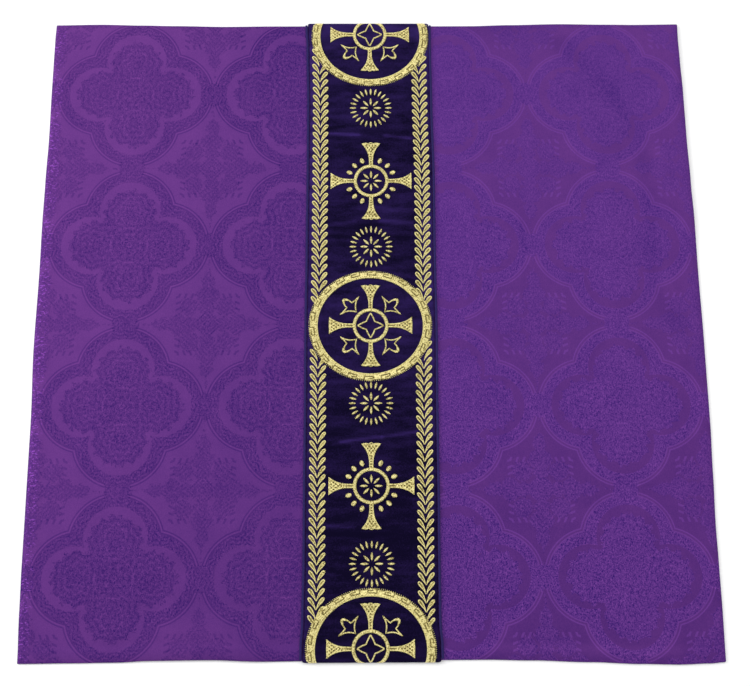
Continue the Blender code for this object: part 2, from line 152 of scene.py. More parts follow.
LIFT_FADE = 20 * MM
# Painted light and shade as soft lines in the lifts' columns. Painted shade falls in the hollows beside the
# folds, mostly on the right and along the far edge. Painted light falls on patches by the near edge.
FOLD_PAINTED_LIGHT_AND_SHADE_ROWS = (
    (170, 255, 210, 215, 16, -0.07),
    (214, 208, 234, 165, 15, -0.07),
    (236, 150, 238, 40, 13, -0.06),
    (238, 28, 257, -5, 13, -0.05),
    (130, 140, 130, 10, 6, -0.03),
    (-90, 262, -60, 256, 26, -0.05),
    (90, 268, 130, 266, 22, -0.05),
    (90, -266, 240, -264, 7, 0.06),
    (-165, -258, -125, -256, 26, 0.06),
)
RIPPLE_WAVES = ((0.10, 61, 0.4, 0.3), (0.08, 47, 1.9, 1.1), (0.07, 34, 2.6, 2.0), (0.05, 26, 1.2, 0.7))
RIPPLE_COLUMNS = ("rise", "length", "heading", "start")


def column(rows, columns, name):
    """One named column of a table of lengths, in metres."""
    return np.array([row[columns.index(name)] for row in rows]) * MM


def eased(stations, values, at):
    """Values between stations, joined by half cosine waves."""
    at = np.clip(at, stations[0], stations[-1])
    low = np.clip(np.searchsorted(stations, at, side="right") - 1, 0, len(stations) - 2)
    share = (at - stations[low]) / (stations[low + 1] - stations[low])
    blend = (1 - np.cos(math.pi * share)) / 2
    return values[low] * (1 - blend) + values[low + 1] * blend


def from_table(rows, columns, name, at):
    """One named column of a table, read at places along its stations."""
    return eased(column(rows, columns, "station"), column(rows, columns, name), at)


def smooth(low, high, at):
    """Nought below low, one above high, and 3t^2 - 2t^3 between."""
    share = np.clip((at - low) / (high - low), 0, 1)
    return share * share * (3 - 2 * share)


def edge_offset(side, along):
    """How far the named edge lies outside the true square."""
    return from_table(EDGE_ROWS, EDGE_COLUMNS, side, along)


def lifts(rows, x, y):
    """Sum of soft ridges, each a squared cosine of the distance to its crest."""
    height = np.zeros(np.shape(x))
    for row in rows:
        lift = dict(zip(LIFT_COLUMNS, np.array(row) * MM))
        run_x = lift["x1"] - lift["x0"]
        run_y = lift["y1"] - lift["y0"]
        from_x = x - lift["x0"]
        from_y = y - lift["y0"]
        share = np.clip((from_x * run_x + from_y * run_y) / (run_x ** 2 + run_y ** 2), 0, 1)
        far = np.hypot(from_x - share * run_x, from_y - share * run_y)
        height += lift["rise"] * np.cos(math.pi / 2 * np.minimum(far / lift["half_width"], 1)) ** 2
    return height


def ripples(x, y):
    """Shallow unevenness of slack cloth: a sum of long waves, each with its own heading."""
    height = np.zeros(np.shape(x))
    for row in RIPPLE_WAVES:
        wave = dict(zip(RIPPLE_COLUMNS, row))
        along = x * math.cos(wave["heading"]) + y * math.sin(wave["heading"])
        bend = 0.6 * np.sin(2 * math.pi * y / (2.7 * wave["length"] * MM) + wave["start"])
        height += wave["rise"] * MM * (1 + np.sin(2 * math.pi * along / (wave["length"] * MM) + bend))
    return height


def grid_faces(rows, columns, start=0):
    """Four-sided faces of a grid of points counted row by row, facing up where rows
    run along +Y and columns along +X."""
    number = start + np.arange(rows * columns).reshape(rows, columns)
    corners = (number[:-1, :-1], number[:-1, 1:], number[1:, 1:], number[1:, :-1])
    return np.stack(corners, axis=-1).reshape(-1, 4)


def new_mesh_piece(name, points, faces, material):
    """A smooth-shaded object at the origin, made of the given points and faces."""
    mesh = bpy.data.meshes.new(name)
    mesh.from_pydata(points.tolist(), [], faces)
    mesh.shade_smooth()
    mesh.materials.append(material)
    piece = bpy.data.objects.new(name, mesh)
    scene.collection.objects.link(piece)
    return piece


def closed_sheet(name, top, under, material):
    """A sheet from two grids of points: its top, its underside and a wall round its rim."""
    rows, columns = top.shape[:2]
    points = np.concatenate((top.reshape(-1, 3), under.reshape(-1, 3)))
    upper = grid_faces(rows, columns)
    lower = grid_faces(rows, columns, start=rows * columns)[:, ::-1]
    number = np.arange(rows * columns).reshape(rows, columns)
    rim = np.concatenate((number[0, :-1], number[:-1, -1], number[-1, :0:-1], number[:0:-1, 0]))
    after = np.roll(rim, -1)
    wall = np.stack((rim, rim + rows * columns, after + rows * columns, after), axis=1)
    faces = np.concatenate((upper, lower, wall)).tolist()
    return new_mesh_piece(name, points, faces, material)


def shade_by(piece, name, values):
    """Give each point of a piece a number that its material reads by name."""
    piece.data.attributes.new(name, "FLOAT", "POINT").data.foreach_set("value", values.ravel())


class Value:
    """A shader socket that Python's signs work on: each adds the Math node it needs."""

    def __init__(self, finish, socket):
        self.finish = finish
        self.socket = socket

    def math(self, operation, *others):
        """A Math node with this value first."""
        return self.finish.node("ShaderNodeMath", {"operation": operation}, (self, *others))

    def clamped(self):
        """This value, kept from 0 to 1."""
        return self.math("MAXIMUM", 0.0).math("MINIMUM", 1.0)

    def __add__(self, other):
        return self.math("ADD", other)

    def __sub__(self, other):
        return self.math("SUBTRACT", other)

    def __rsub__(self, other):
        return self.finish.node("ShaderNodeMath", {"operation": "SUBTRACT"}, (other, self))

    def __mul__(self, other):
        return self.math("MULTIPLY", other)

    def __truediv__(self, other):
        return self.math("DIVIDE", other)

    def __lt__(self, other):
        return self.math("LESS_THAN", other)

    def __gt__(self, other):
        return self.math("GREATER_THAN", other)

    __radd__ = __add__
    __rmul__ = __mul__


class Finish:
    """A material in the making, with its Principled shader's constants set by name."""

    def __init__(self, name, **constants):
        self.material = bpy.data.materials.new(name)
        self.material.use_nodes = True
        self.tree = self.material.node_tree
        self.shader = self.tree.nodes["Principled BSDF"]
        for socket, value in constants.items():
            self.shader.inputs[socket.replace("_", " ")].default_value = value

    def plug(self, value, socket):
        """Link a wrapped value to a socket, or set the socket to a plain one."""
        if isinstance(value, Value):
            self.tree.links.new(value.socket, socket)
        else:
            socket.default_value = value

    def node(self, kind, settings=None, inputs=(), output=0):
        """A new node: its settings first, then its sockets by place or by name."""
        node = self.tree.nodes.new(kind)
        for setting, value in (settings or {}).items():
            setattr(node, setting, value)
        for key, value in inputs.items() if isinstance(inputs, dict) else enumerate(inputs):
            self.plug(value, node.inputs[key])
        return Value(self, node.outputs[output])

    def blend(self, share, start, end):
        """A colour between two others."""
        return self.node("ShaderNodeMix", {"data_type": "RGBA"}, {0: share, 6: start, 7: end}, output=2)

    def attribute(self, name):
        """The number that shade_by gave each point under a name."""
        return self.node("ShaderNodeAttribute", {"attribute_name": name}, output=2)

    def colour(self, colour):
        """Feed the shader's colour."""
        self.plug(colour, self.shader.inputs["Base Color"])

    def length(self, x, y):
        """Distance of a point in the plane from nought."""
        flat = self.node("ShaderNodeCombineXYZ", inputs=(x, y))
        return self.node("ShaderNodeVectorMath", {"operation": "LENGTH"}, (flat,), output=1)

    def line(self, value, at, half_width):
        """One where a value is within half a width of another, else nought."""
        return value.math("COMPARE", at, half_width)

    def wave(self, value, pitch):
        """A sine wave of the given pitch."""
        return (value * (2 * math.pi / pitch)).math("SINE")

    def x_and_y(self, place):
        """The first two numbers of a vector."""
        split = self.tree.nodes.new("ShaderNodeSeparateXYZ")
        self.plug(place, split.inputs[0])
        return Value(self, split.outputs[0]), Value(self, split.outputs[1])

    def object_place(self):
        """The shaded point in the piece's own frame, in metres."""
        return self.node("ShaderNodeTexCoord", output=3)

    def thread_place(self):
        """The shaded point's way along and across its thread, from the UV map."""
        return self.x_and_y(self.node("ShaderNodeTexCoord", output=2))

    def noise(self, place, pitch, detail=2.0, stretch=(1, 1, 1)):
        """A soft noise, 0 to 1, whose grain has about the given pitch in metres."""
        scaled = self.node("ShaderNodeMapping", {"vector_type": "POINT"}, {"Vector": place, "Scale": stretch})
        grain = {"Vector": scaled, "Scale": 1 / pitch, "Detail": detail}
        return self.node("ShaderNodeTexNoise", inputs=grain)

    def bump(self, height, depth):
        """A bump of the given depth in metres, fed to the shader's normal."""
        bumped = {"Height": height, "Distance": depth, "Strength": 1.0}
        self.plug(self.node("ShaderNodeBump", inputs=bumped), self.shader.inputs["Normal"])


# The damask's pattern, in mm, because the shader reads its places in mm
REPEAT_X = 135.8
REPEAT_Y = 138.8
REPEAT_START = (69.6, 69.1)
LOBE_PLACE = 29.0
RIM_RADII = (38.6, 36.2)
RIM_HALF_WIDTH = 0.55
BETWEEN_RIMS = 37.4
BAND_RADIUS = 35.6
WINDOW_PLACE = 31.5
WINDOW_RADIUS = 25.3
BUNCH_PLACE = 27.5
BUNCH_RADIUS = 21.8
HEART_RADIUS = 15.0
FINE_LINE = 0.5
STAR_LEAF_PLACE = 15.2
STAR_LEAF_RADIUS = 8.0
BERRY_RADIUS = 9.8
PALMETTE_HUMPS = ((24.5, 10.0, 10.0), (13.5, 6.0, 7.0), (37.0, 10.0, 5.5))
STAR_SHARE = 0.72
# Painted light and sheen: the cloth is lighter at the far left and darker right of the band. The figure and
# its edges are darker than the satin left of the band, and lighter and more blue right of it. Short strokes
# of painted highlight mark the left hem.
BASE_TONE = 0.40
RIGHT_PAINTED_SHADE = 0.065
FAR_LEFT_PAINTED_LIGHT = 0.055
FIGURE_PAINTED_SHEEN_TONES = (-0.115, 0.005)
EDGE_PAINTED_SHEEN_TONES = (-0.17, 0.13)
LINE_TONE = 0.052
RIGHT_PAINTED_SHEEN_LINE_DROP = 0.022
GRAIN_SHARES = (0.85, 0.75)
MOTTLE_SHARE = 0.16
PAINTED_GLINT_PLACE = (-272.0, 8.0)
DAMASK_DARK = (0.021, 0.0046, 0.106, 1)
DAMASK_LIGHT = (0.210, 0.057, 0.292, 1)
DAMASK_PAINTED_SHEEN_DARK = (0.021, 0.0046, 0.118, 1)
DAMASK_PAINTED_SHEEN_LIGHT = (0.210, 0.060, 0.330, 1)
DAMASK_PAINTED_GLINT = (0.330, 0.085, 0.560, 1)


def hump(value, at, half_width):
    """One at a place, falling to nought a half width away: one less the share squared."""
    share = (value - at) / half_width
    return (1.0 - share * share).math("MAXIMUM", 0.0)


def quatrefoil(finish, p, q, upright, ragged):
    """A quatrefoil's figure and finer lines. p and q are the larger and the smaller
    distance from its middle along the two axes.

    Its band lies between the inner rim and a plain window, and inside stand a heart and
    a bunch of flowers on each axis, with an ogive on each upright one."""
    lobe = finish.length(p - LOBE_PLACE, q)
    arc = q.math("ARCTAN2", p - LOBE_PLACE) * 32.0
    in_band = lobe < BAND_RADIUS
    window = finish.length(p - WINDOW_PLACE, q)
    band = in_band * (window > WINDOW_RADIUS)
    leafing = finish.wave(lobe + finish.wave(arc, 12.5) * 1.5, 3.3)
    bunch_far = finish.length(p - BUNCH_PLACE, q)
    bunch_turn = q.math("ARCTAN2", p - BUNCH_PLACE)
    bunch_edge = BUNCH_RADIUS + finish.wave(bunch_turn, 2 * math.pi / 14) * 1.3
    bunch = bunch_far + ragged < bunch_edge
    petals = finish.wave(bunch_far + finish.wave(bunch_turn, 2 * math.pi / 8) * 1.5, 5.2)
    eye = finish.line(bunch_far, 3.0, 0.6)
    halo = finish.line(bunch_far, 12.5, 0.45)
    middle = finish.length(p, q)
    heart = middle + ragged < HEART_RADIUS
    hoop = finish.line(middle, HEART_RADIUS + 0.6, FINE_LINE)
    ogive = finish.line(q - hump(p, 30.0, 14.5) * 8.5, 0.0, FINE_LINE) * upright * finish.line(p, 30.0, 14.0)
    ogives = finish.wave(finish.length(p - 9.0, q - 9.0), 5.0)
    lines = band * leafing * 1.25 + finish.line(window, WINDOW_RADIUS + 0.3, FINE_LINE) * in_band
    lines = lines + bunch * petals * 1.05 + heart * ogives * 0.9 - bunch * eye * 1.4 + bunch * halo
    return (bunch + heart + band).math("MINIMUM", 1.0), lines + (hoop + ogive) * 1.8


def star_of_leaves(finish, u, v, ragged):
    """A star's figure and finer lines: a berry, a palmette on each axis and a leaf on
    each diagonal. u and v are the larger and the smaller distance from its middle."""
    berry = finish.length(u, v) < BERRY_RADIUS
    dots = finish.wave(u, 2.9) * finish.wave(v, 2.9)
    widths = [hump(u, at, half_length) * half_width for at, half_length, half_width in PALMETTE_HUMPS]
    width = widths[0].math("MAXIMUM", widths[1]).math("MAXIMUM", widths[2])
    palmette = v + ragged < width
    leaves = finish.length(u - STAR_LEAF_PLACE, v - STAR_LEAF_PLACE) + ragged < STAR_LEAF_RADIUS
    veins = finish.wave(u + v * 1.3, 4.6)
    return (berry + palmette + leaves).math("MINIMUM", 1.0), dots * berry * 1.6 + veins * 0.8


def damask_figure(finish, x, y, ragged):
    """The woven figure, 1 on the textured figure and 0 on plain satin, its drawn edges,
    and its finer lines, less than 0 where dark and more where light.

    Each repeat is folded on its axes and its diagonal, so that one eighth is drawn. The
    figure runs on from one quatrefoil to the next where they touch."""
    half_x, half_y = REPEAT_X / 2, REPEAT_Y / 2
    a = (x - REPEAT_START[0]).math("PINGPONG", half_x)
    b = (y - REPEAT_START[1]).math("PINGPONG", half_y)
    p = a.math("MAXIMUM", b)
    q = a.math("MINIMUM", b)
    u = (half_x - a).math("MAXIMUM", half_y - b)
    v = (half_x - a).math("MINIMUM", half_y - b)
    lobe = finish.length(p - LOBE_PLACE, q)
    touch = finish.length(half_x - p, q)
    apart = touch + ragged > 9.5
    junction = (touch + ragged < 10.5) * (lobe > 29.5)
    outside = lobe > RIM_RADII[0] + 0.9
    rims = finish.line(lobe, RIM_RADII[0], RIM_HALF_WIDTH) + finish.line(lobe, RIM_RADII[1], RIM_HALF_WIDTH)
    ticks = finish.line(u, 24.5, 2.1) * finish.line(v, 17.5, 8.0) * (finish.wave(v + u * 0.4, 5.4) > 0.45)
    inner_figure, inner_lines = quatrefoil(finish, p, q, b > a, ragged)
    star_figure, star_lines = star_of_leaves(finish, u, v, ragged)
    star_figure = star_figure * outside
    figure = (inner_figure + star_figure * STAR_SHARE + junction).math("MINIMUM", 1.0)
    edges = rims * apart * 1.2 + ticks * outside
    lines = finish.line(lobe, BETWEEN_RIMS, FINE_LINE) * apart + inner_lines + star_figure * star_lines
    return figure, edges, lines


def damask_finish():
    """Silk damask: plain satin that is pinker and smoother, and a figure of fine dashes.

    The figure is painted dark against the satin left of the band, and more blue and a
    little lighter right of it: a painted sheen for the way its floats catch the light from
    the left. The cloth is painted lighter to the far left and darker right of the band, and
    an attribute adds the painted light and shade of the folds. Short strokes of painted
    highlight mark the left hem."""
    finish = Finish("Violet damask", Roughness=0.5, Metallic=0.25, Specular_IOR_Level=0.05)
    place = finish.object_place()
    x, y = (part * 1000 for part in finish.x_and_y(place))
    ragged = (finish.noise(place, 2.4 * MM) - 0.5) * 9.0
    figure, edges, lines = damask_figure(finish, x, y, ragged)
    painted_shading = finish.attribute("painted_shading")
    grain = finish.noise(place, 0.9 * MM) - 0.5
    dashes = finish.noise(place, 0.8 * MM, stretch=(1.0, 0.5, 1.0)) - 0.5
    mottle = finish.noise(place, 24 * MM) - 0.5
    right = x > 0.0
    left = 1.0 - right
    # Painted sheen: how dark or light the figure and its edges show changes from left of the band to right of
    # it, and along y.
    painted_sheen_slope = y * -0.0002 * (x / 137.0 + 1.5).clamped()
    figure_painted_sheen = left * (x * 0.0002 + FIGURE_PAINTED_SHEEN_TONES[0]) + right * FIGURE_PAINTED_SHEEN_TONES[1] + painted_sheen_slope
    edge_painted_sheen = left * EDGE_PAINTED_SHEEN_TONES[0] + right * EDGE_PAINTED_SHEEN_TONES[1] + painted_sheen_slope
    # The grain is stronger on the figure and strongest at its lower right, where it stands in for painted
    # glints.
    grain_and_painted_glint = 0.28 + figure * (0.66 + right * (y * -0.0018 + 0.20))
    # Painted light toward the far left, painted shade right of the band.
    far_left_painted_light = (x * -0.007 - 0.48).clamped()
    share = BASE_TONE - right * RIGHT_PAINTED_SHADE + far_left_painted_light * FAR_LEFT_PAINTED_LIGHT
    share = share + figure * figure_painted_sheen + edges * edge_painted_sheen + lines * (LINE_TONE - right * RIGHT_PAINTED_SHEEN_LINE_DROP)
    woven = grain * GRAIN_SHARES[0] + dashes * GRAIN_SHARES[1]
    share = share + woven * grain_and_painted_glint + mottle * MOTTLE_SHARE + painted_shading
    share = share.clamped()
    colour = finish.blend(share, DAMASK_DARK, DAMASK_LIGHT)
    # Painted sheen: right of the band the figure and its edges take a more blue colour.
    painted_sheen_colour = finish.blend(share, DAMASK_PAINTED_SHEEN_DARK, DAMASK_PAINTED_SHEEN_LIGHT)
    colour = finish.blend((figure + edges).math("MINIMUM", 1.0) * right, colour, painted_sheen_colour)
    # Painted highlight: short bright strokes along the left hem, where the rolled hem catches the light from
    # the left.
    painted_glint_strokes = finish.noise(place, 1.3 * MM, stretch=(0.6, 1.3, 1.0)) > 0.61
    painted_hem_glint = painted_glint_strokes * hump(x, *PAINTED_GLINT_PLACE)
    finish.colour(finish.blend(painted_hem_glint * 0.55, colour, DAMASK_PAINTED_GLINT))
    finish.bump(dashes * figure + grain * 0.6 + figure * 0.4, 0.14 * MM)
    return finish.material


def near_edge(place):
    """How much of an edge's offset a place takes: all at the edge, none further in."""
    return np.clip(1 - (HALF_SIDE - place) / WARP_DEPTH, 0, 1)


def cloth_surfaces():
    """The cloth's top and underside, as grids that follow its uneven outline, and the
    painted light and shade at each point: painted shade in the folds' hollows, and painted
    light on a few patches, toward the far edge and toward the sides.

    The top stands over the lifts by the hem's and field's thickness and the ripples.
    The underside steps up inside the turned hem."""
    insets = column(HEM_ROWS, HEM_COLUMNS, "inset")
    reach = HALF_SIDE - insets[-1]
    field = np.linspace(-reach, reach, round(2 * reach / CLOTH_CELL) + 1)[1:-1]
    lines = np.concatenate((insets - HALF_SIDE, field, HALF_SIDE - insets[::-1]))
    x, y = np.meshgrid(lines, lines)
    warped_x = x + near_edge(x) * edge_offset("right", y) - near_edge(-x) * edge_offset("left", y)
    warped_y = y + near_edge(y) * edge_offset("top", x) - near_edge(-y) * edge_offset("bottom", x)
    corner = (np.abs(x) == HALF_SIDE) & (np.abs(y) == HALF_SIDE)
    warped_x = warped_x - corner * np.sign(x) * CORNER_PULL
    warped_y = warped_y - corner * np.sign(y) * CORNER_PULL
    inset = np.minimum(HALF_SIDE - np.abs(x), HALF_SIDE - np.abs(y))
    thickness = np.interp(inset, insets, column(HEM_ROWS, HEM_COLUMNS, "thickness"))
    beside = smooth(LIFT_FREE, LIFT_FREE + LIFT_FADE, np.abs(x))
    lift = lifts(CLOTH_LIFTS, x, y) * beside
    slack = ripples(x, y) * beside * smooth(0, 2 * HEM_TURN_INSET, inset)
    turned = HEM_TURN_RISE * smooth(HEM_TURN_INSET, HEM_TURN_INSET + 0.5 * MM, inset)
    top = np.stack((warped_x, warped_y, lift + thickness + slack), axis=-1)
    under = np.stack((warped_x, warped_y, lift + slack + turned), axis=-1)
    # Painted light: a little lighter toward the far edge and toward the left and right edges.
    side_edge_painted_light = smooth(0.3 * HALF_SIDE, HALF_SIDE, np.abs(x))
    painted_shading = lifts(FOLD_PAINTED_LIGHT_AND_SHADE_ROWS, x, y) / MM + 0.05 * y / HALF_SIDE + 0.03 * side_edge_painted_light
    return top, under, painted_shading


cloth_top, cloth_under, cloth_painted_shading = cloth_surfaces()
veil_cloth = closed_sheet("Damask_cloth", cloth_top, cloth_under, damask_finish())
shade_by(veil_cloth, "painted_shading", np.concatenate((cloth_painted_shading, cloth_painted_shading)))
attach(veil_cloth, "root")
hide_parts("veil_cloth")


# The piping: a navy cord of twisted cotton laid along each side of the band, on the
# cloth. It is caught in the seam that holds the velvet down.
BAND_COLUMNS = ("station", "left", "right")
BAND_ROWS = (
    (-276, -55.4, 57.1),
    (-262, -55.3, 56.9),
    (-243, -54.2, 55.6),
    (-197, -53.6, 55.7),
    (-139, -53.7, 56.1),
    (-70, -53.5, 56.2),
    (-9, -53.7, 56.7),
    (64, -53.2, 56.3),
    (129, -53.0, 56.6),
    (196, -53.0, 55.6),
    (250, -54.0, 55.2),
    (276, -55.2, 55.4),
)
GAP = 0.3 * MM
HEM_STEP_START = 255 * MM
HEM_STEP_END = 260 * MM
PIPING_RADIUS = 1.0 * MM
PIPING_END_INSET = 0.8 * MM
PIPING_STEP = 1.0 * MM
PIPING_SIDES = 16
PIPING_TWIST = 3.2 * MM


def band_edge(side, along):
    """X of the band's outer edge, piping included."""
    return from_table(BAND_ROWS, BAND_COLUMNS, side, along)


def band_floor(y):
    """Height just clear of the cloth under the band, stepping up on to its hem."""
    thickness = column(HEM_ROWS, HEM_COLUMNS, "thickness")
    share = np.clip((np.abs(y) - HEM_STEP_START) / (HEM_STEP_END - HEM_STEP_START), 0, 1)
    return GAP + thickness[-1] + share * (thickness.max() - thickness[-1])


def piping_finish():
    """Twisted navy cotton: strands that wind round the cord, read from its UV map."""
    finish = Finish(
        "Navy piping", Roughness=0.8, Specular_IOR_Level=0.08,
        Sheen_Weight=0.08, Sheen_Roughness=0.4, Sheen_Tint=(0.4, 0.4, 1.0, 1),
    )
    along, around = finish.thread_place()
    strand = finish.wave(along + around * 0.5, 0.25)
    fluff = finish.noise(finish.object_place(), 0.7 * MM)
    shade = strand * 0.28 + fluff
    colour = finish.blend(shade, (0.011, 0.0075, 0.048, 1), (0.035, 0.025, 0.140, 1))
    finish.colour(colour)
    finish.bump(strand * 0.5 + fluff * 0.6, 0.12 * MM)
    return finish.material


def unwrap(piece, name, places):
    """A UV map whose corners take the places given for their points."""
    corners = np.empty(len(piece.data.loops), dtype=np.int32)
    piece.data.loops.foreach_get("vertex_index", corners)
    piece.data.uv_layers.new(name=name).data.foreach_set("uv", places[corners].ravel())


def make_piping(side, material):
    """A round tube whose middle follows the band's edge. Strands wind round it as
    shallow grooves: the radius dips with the turn plus the way gone."""
    far = HALF_SIDE + edge_offset("top", band_edge(side, HALF_SIDE)) - PIPING_END_INSET
    near = -HALF_SIDE - edge_offset("bottom", band_edge(side, -HALF_SIDE)) + PIPING_END_INSET
    y = np.linspace(near, far, round((far - near) / PIPING_STEP) + 1)[:, None]
    turn = np.linspace(0, 2 * math.pi, PIPING_SIDES + 1)[None, :]
    inward = PIPING_RADIUS if side == "left" else -PIPING_RADIUS
    radius = PIPING_RADIUS * (0.97 - 0.03 * np.cos(3 * turn - 2 * math.pi * y / PIPING_TWIST))
    x = band_edge(side, y) + inward - radius * np.sin(turn)
    z = band_floor(y) + PIPING_RADIUS - radius * np.cos(turn)
    tube = np.stack(np.broadcast_arrays(x, y, z), axis=-1)[:, :-1]
    rows = len(y)
    points = tube.reshape(-1, 3)
    number = np.arange(rows * PIPING_SIDES).reshape(rows, PIPING_SIDES)
    beside = np.roll(number, -1, axis=1)
    walls = np.stack((number[:-1], number[1:], beside[1:], beside[:-1]), axis=-1).reshape(-1, 4)
    faces = walls.tolist() + [number[0].tolist(), number[-1][::-1].tolist()]
    piping = new_mesh_piece(f"Piping_{side}", points, faces, material)
    along = np.repeat(y.ravel() / PIPING_TWIST, PIPING_SIDES)
    around = np.tile(turn.ravel()[:-1] / (2 * math.pi), rows)
    unwrap(piping, "Cord", np.stack((along, around), axis=1))
    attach(piping, "root")
    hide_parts(f"piping_{side}")


navy_piping = piping_finish()
for piping_side in ("left", "right"):
    make_piping(piping_side, navy_piping)


# The orphrey band: cotton velvet of a violet near black, its long edges turned under
# beside the piping and its ends turned down over the cloth's hems.
BAND_LIFTS = (
    (-40, 170, 22, 168, 8, 0.7),
    (-44, 90, 30, 87, 7, 0.6),
    (-30, -92, 44, -95, 8, 0.6),
    (-46, -176, 40, -173, 7, 0.6),
    (-44, 217, 10, 214, 6, 0.4),
)
# Painted sheen as soft lines in the lifts' columns: pale streaks where wrinkles lay the pile over, and dark
# streaks beside them.
VELVET_PAINTED_SHEEN_STREAKS = (
    (-33, 170, -8, 168.5, 2.2, 0.45),
    (14, 168, 36, 165.5, 2.2, 0.35),
    (-36, 174, -20, 177, 2.4, -0.15),
    (-34, 202, -18, 208, 5, 0.12),
    (-34, 86, -12, 89, 3, 0.25),
    (10, 90, 36, 88, 3.5, 0.32),
    (-8, 102, 36, 100, 6, 0.12),
    (-36, 77, 38, 75, 3, -0.1),
    (-24, -100, 10, -96, 2.2, 0.4),
    (10, -96, 38, -92, 2.2, 0.3),
    (-34, -105, -16, -104, 2.2, -0.15),
    (-34, -168, -12, -169.5, 2, 0.2),
    (-34, -174, 2, -176, 2.2, -0.2),
    (-32, -202, -14, -208, 2.4, -0.1),
)
# Painted light along the band, for the left strip, the middle and the right strip: lighter by the piping and
# toward the far end, darker toward the near end.
VELVET_PAINTED_LIGHT_COLUMNS = ("station", "left", "middle", "right")
VELVET_PAINTED_LIGHT_ROWS = (
    (-276, 0.26, 0.05, 0.10),
    (-242, 0.30, 0.03, 0.10),
    (-215, 0.30, 0.07, 0.11),
    (-176, 0.31, 0.03, 0.15),
    (-130, 0.36, 0.07, 0.17),
    (-88, 0.38, 0.07, 0.28),
    (-66, 0.46, 0.09, 0.33),
    (-40, 0.52, 0.20, 0.42),
    (10, 0.48, 0.20, 0.43),
    (44, 0.47, 0.16, 0.52),
    (66, 0.50, 0.09, 0.50),
    (132, 0.58, 0.17, 0.36),
    (154, 0.53, 0.08, 0.33),
    (198, 0.54, 0.15, 0.38),
    (242, 0.60, 0.18, 0.48),
    (276, 0.52, 0.38, 0.52),
)
VELVET_THICKNESS = 1.3 * MM
VELVET_CELL = 1.5 * MM
VELVET_COLUMNS = 68
VELVET_RIM = np.array((0, 0.3, 0.8, 1.4)) * MM
PAINTED_LIGHT_FADE = (6 * MM, 13 * MM)
VELVET_SEAM = 2 * PIPING_RADIUS + GAP
VELVET_EDGE_ROLL = 2.0 * MM
VELVET_EDGE_DROP = 0.7 * MM
BAND_FAR_END = 276.0 * MM
BAND_NEAR_END = -273.8 * MM
END_TURN_RADIUS = 1.2 * MM
OUTER_TURN = END_TURN_RADIUS + VELVET_THICKNESS
FAR_TURN = BAND_FAR_END - OUTER_TURN
NEAR_TURN = BAND_NEAR_END + OUTER_TURN
STRAIGHT_DROP = 0.9 * MM
END_STEPS = 13


def on_velvet(x, y, rise):
    """Points that stand a rise above the velvet, with y measured over its surface.

    Past each end's turn the way bends down round a quarter circle about a point that
    lies the turn's radius below the top, then runs straight down and is gathered in
    before the floor: drop times one less e to the minus way over drop."""
    over = np.maximum(y - FAR_TURN, 0) + np.maximum(NEAR_TURN - y, 0)
    side = np.where(y > 0, 1.0, -1.0)
    turn = np.minimum(over / OUTER_TURN, math.pi / 2)
    left_over = np.maximum(over - OUTER_TURN * math.pi / 2, 0)
    down = STRAIGHT_DROP * (1 - np.exp(-left_over / STRAIGHT_DROP))
    flat_y = np.clip(y, NEAR_TURN, FAR_TURN)
    top = band_floor(flat_y) + lifts(BAND_LIFTS, x, flat_y) + VELVET_THICKNESS
    reach = OUTER_TURN + rise
    return np.stack(
        np.broadcast_arrays(
            x, flat_y + side * reach * np.sin(turn), top - OUTER_TURN + reach * np.cos(turn) - down
        ),
        axis=-1,
    )


def velvet_surfaces():
    """The band's top and underside, from grids that follow its two edges, and the painted
    sheen at each point: pale streaks on the wrinkles, dark ones beside them, and painted
    light that is stronger by both edges and toward the far end."""
    end = OUTER_TURN * math.pi / 2 + 2.5 * STRAIGHT_DROP
    turn_steps = np.linspace(0, end, END_STEPS)[1:]
    flat = np.linspace(NEAR_TURN, FAR_TURN, round((FAR_TURN - NEAR_TURN) / VELVET_CELL) + 1)
    y = np.concatenate(((NEAR_TURN - turn_steps)[::-1], flat, FAR_TURN + turn_steps))[:, None]
    inner = np.linspace(0, 1, VELVET_COLUMNS)
    left = band_edge("left", y) + VELVET_SEAM
    right = band_edge("right", y) - VELVET_SEAM
    middle = left + VELVET_EDGE_ROLL + (right - left - 2 * VELVET_EDGE_ROLL) * inner
    x = np.hstack((left + VELVET_RIM, middle, right - VELVET_RIM[::-1]))
    inset = np.minimum(x - left, right - x)
    roll = VELVET_EDGE_DROP * (1 - np.minimum(inset / VELVET_EDGE_ROLL, 1)) ** 2
    y = np.broadcast_to(y, x.shape)
    left_painted_light, middle_painted_light, right_painted_light = (
        from_table(VELVET_PAINTED_LIGHT_ROWS, VELVET_PAINTED_LIGHT_COLUMNS, name, y) / MM for name in VELVET_PAINTED_LIGHT_COLUMNS[1:]
    )
    painted_shading = middle_painted_light + lifts(VELVET_PAINTED_SHEEN_STREAKS, x, y) / MM
    painted_shading = painted_shading + (left_painted_light - painted_shading) * (1 - smooth(*PAINTED_LIGHT_FADE, x - left))
    painted_shading = painted_shading + (right_painted_light - painted_shading) * (1 - smooth(*PAINTED_LIGHT_FADE, right - x))
    return on_velvet(x, y, -roll), on_velvet(x, y, -VELVET_THICKNESS), painted_shading


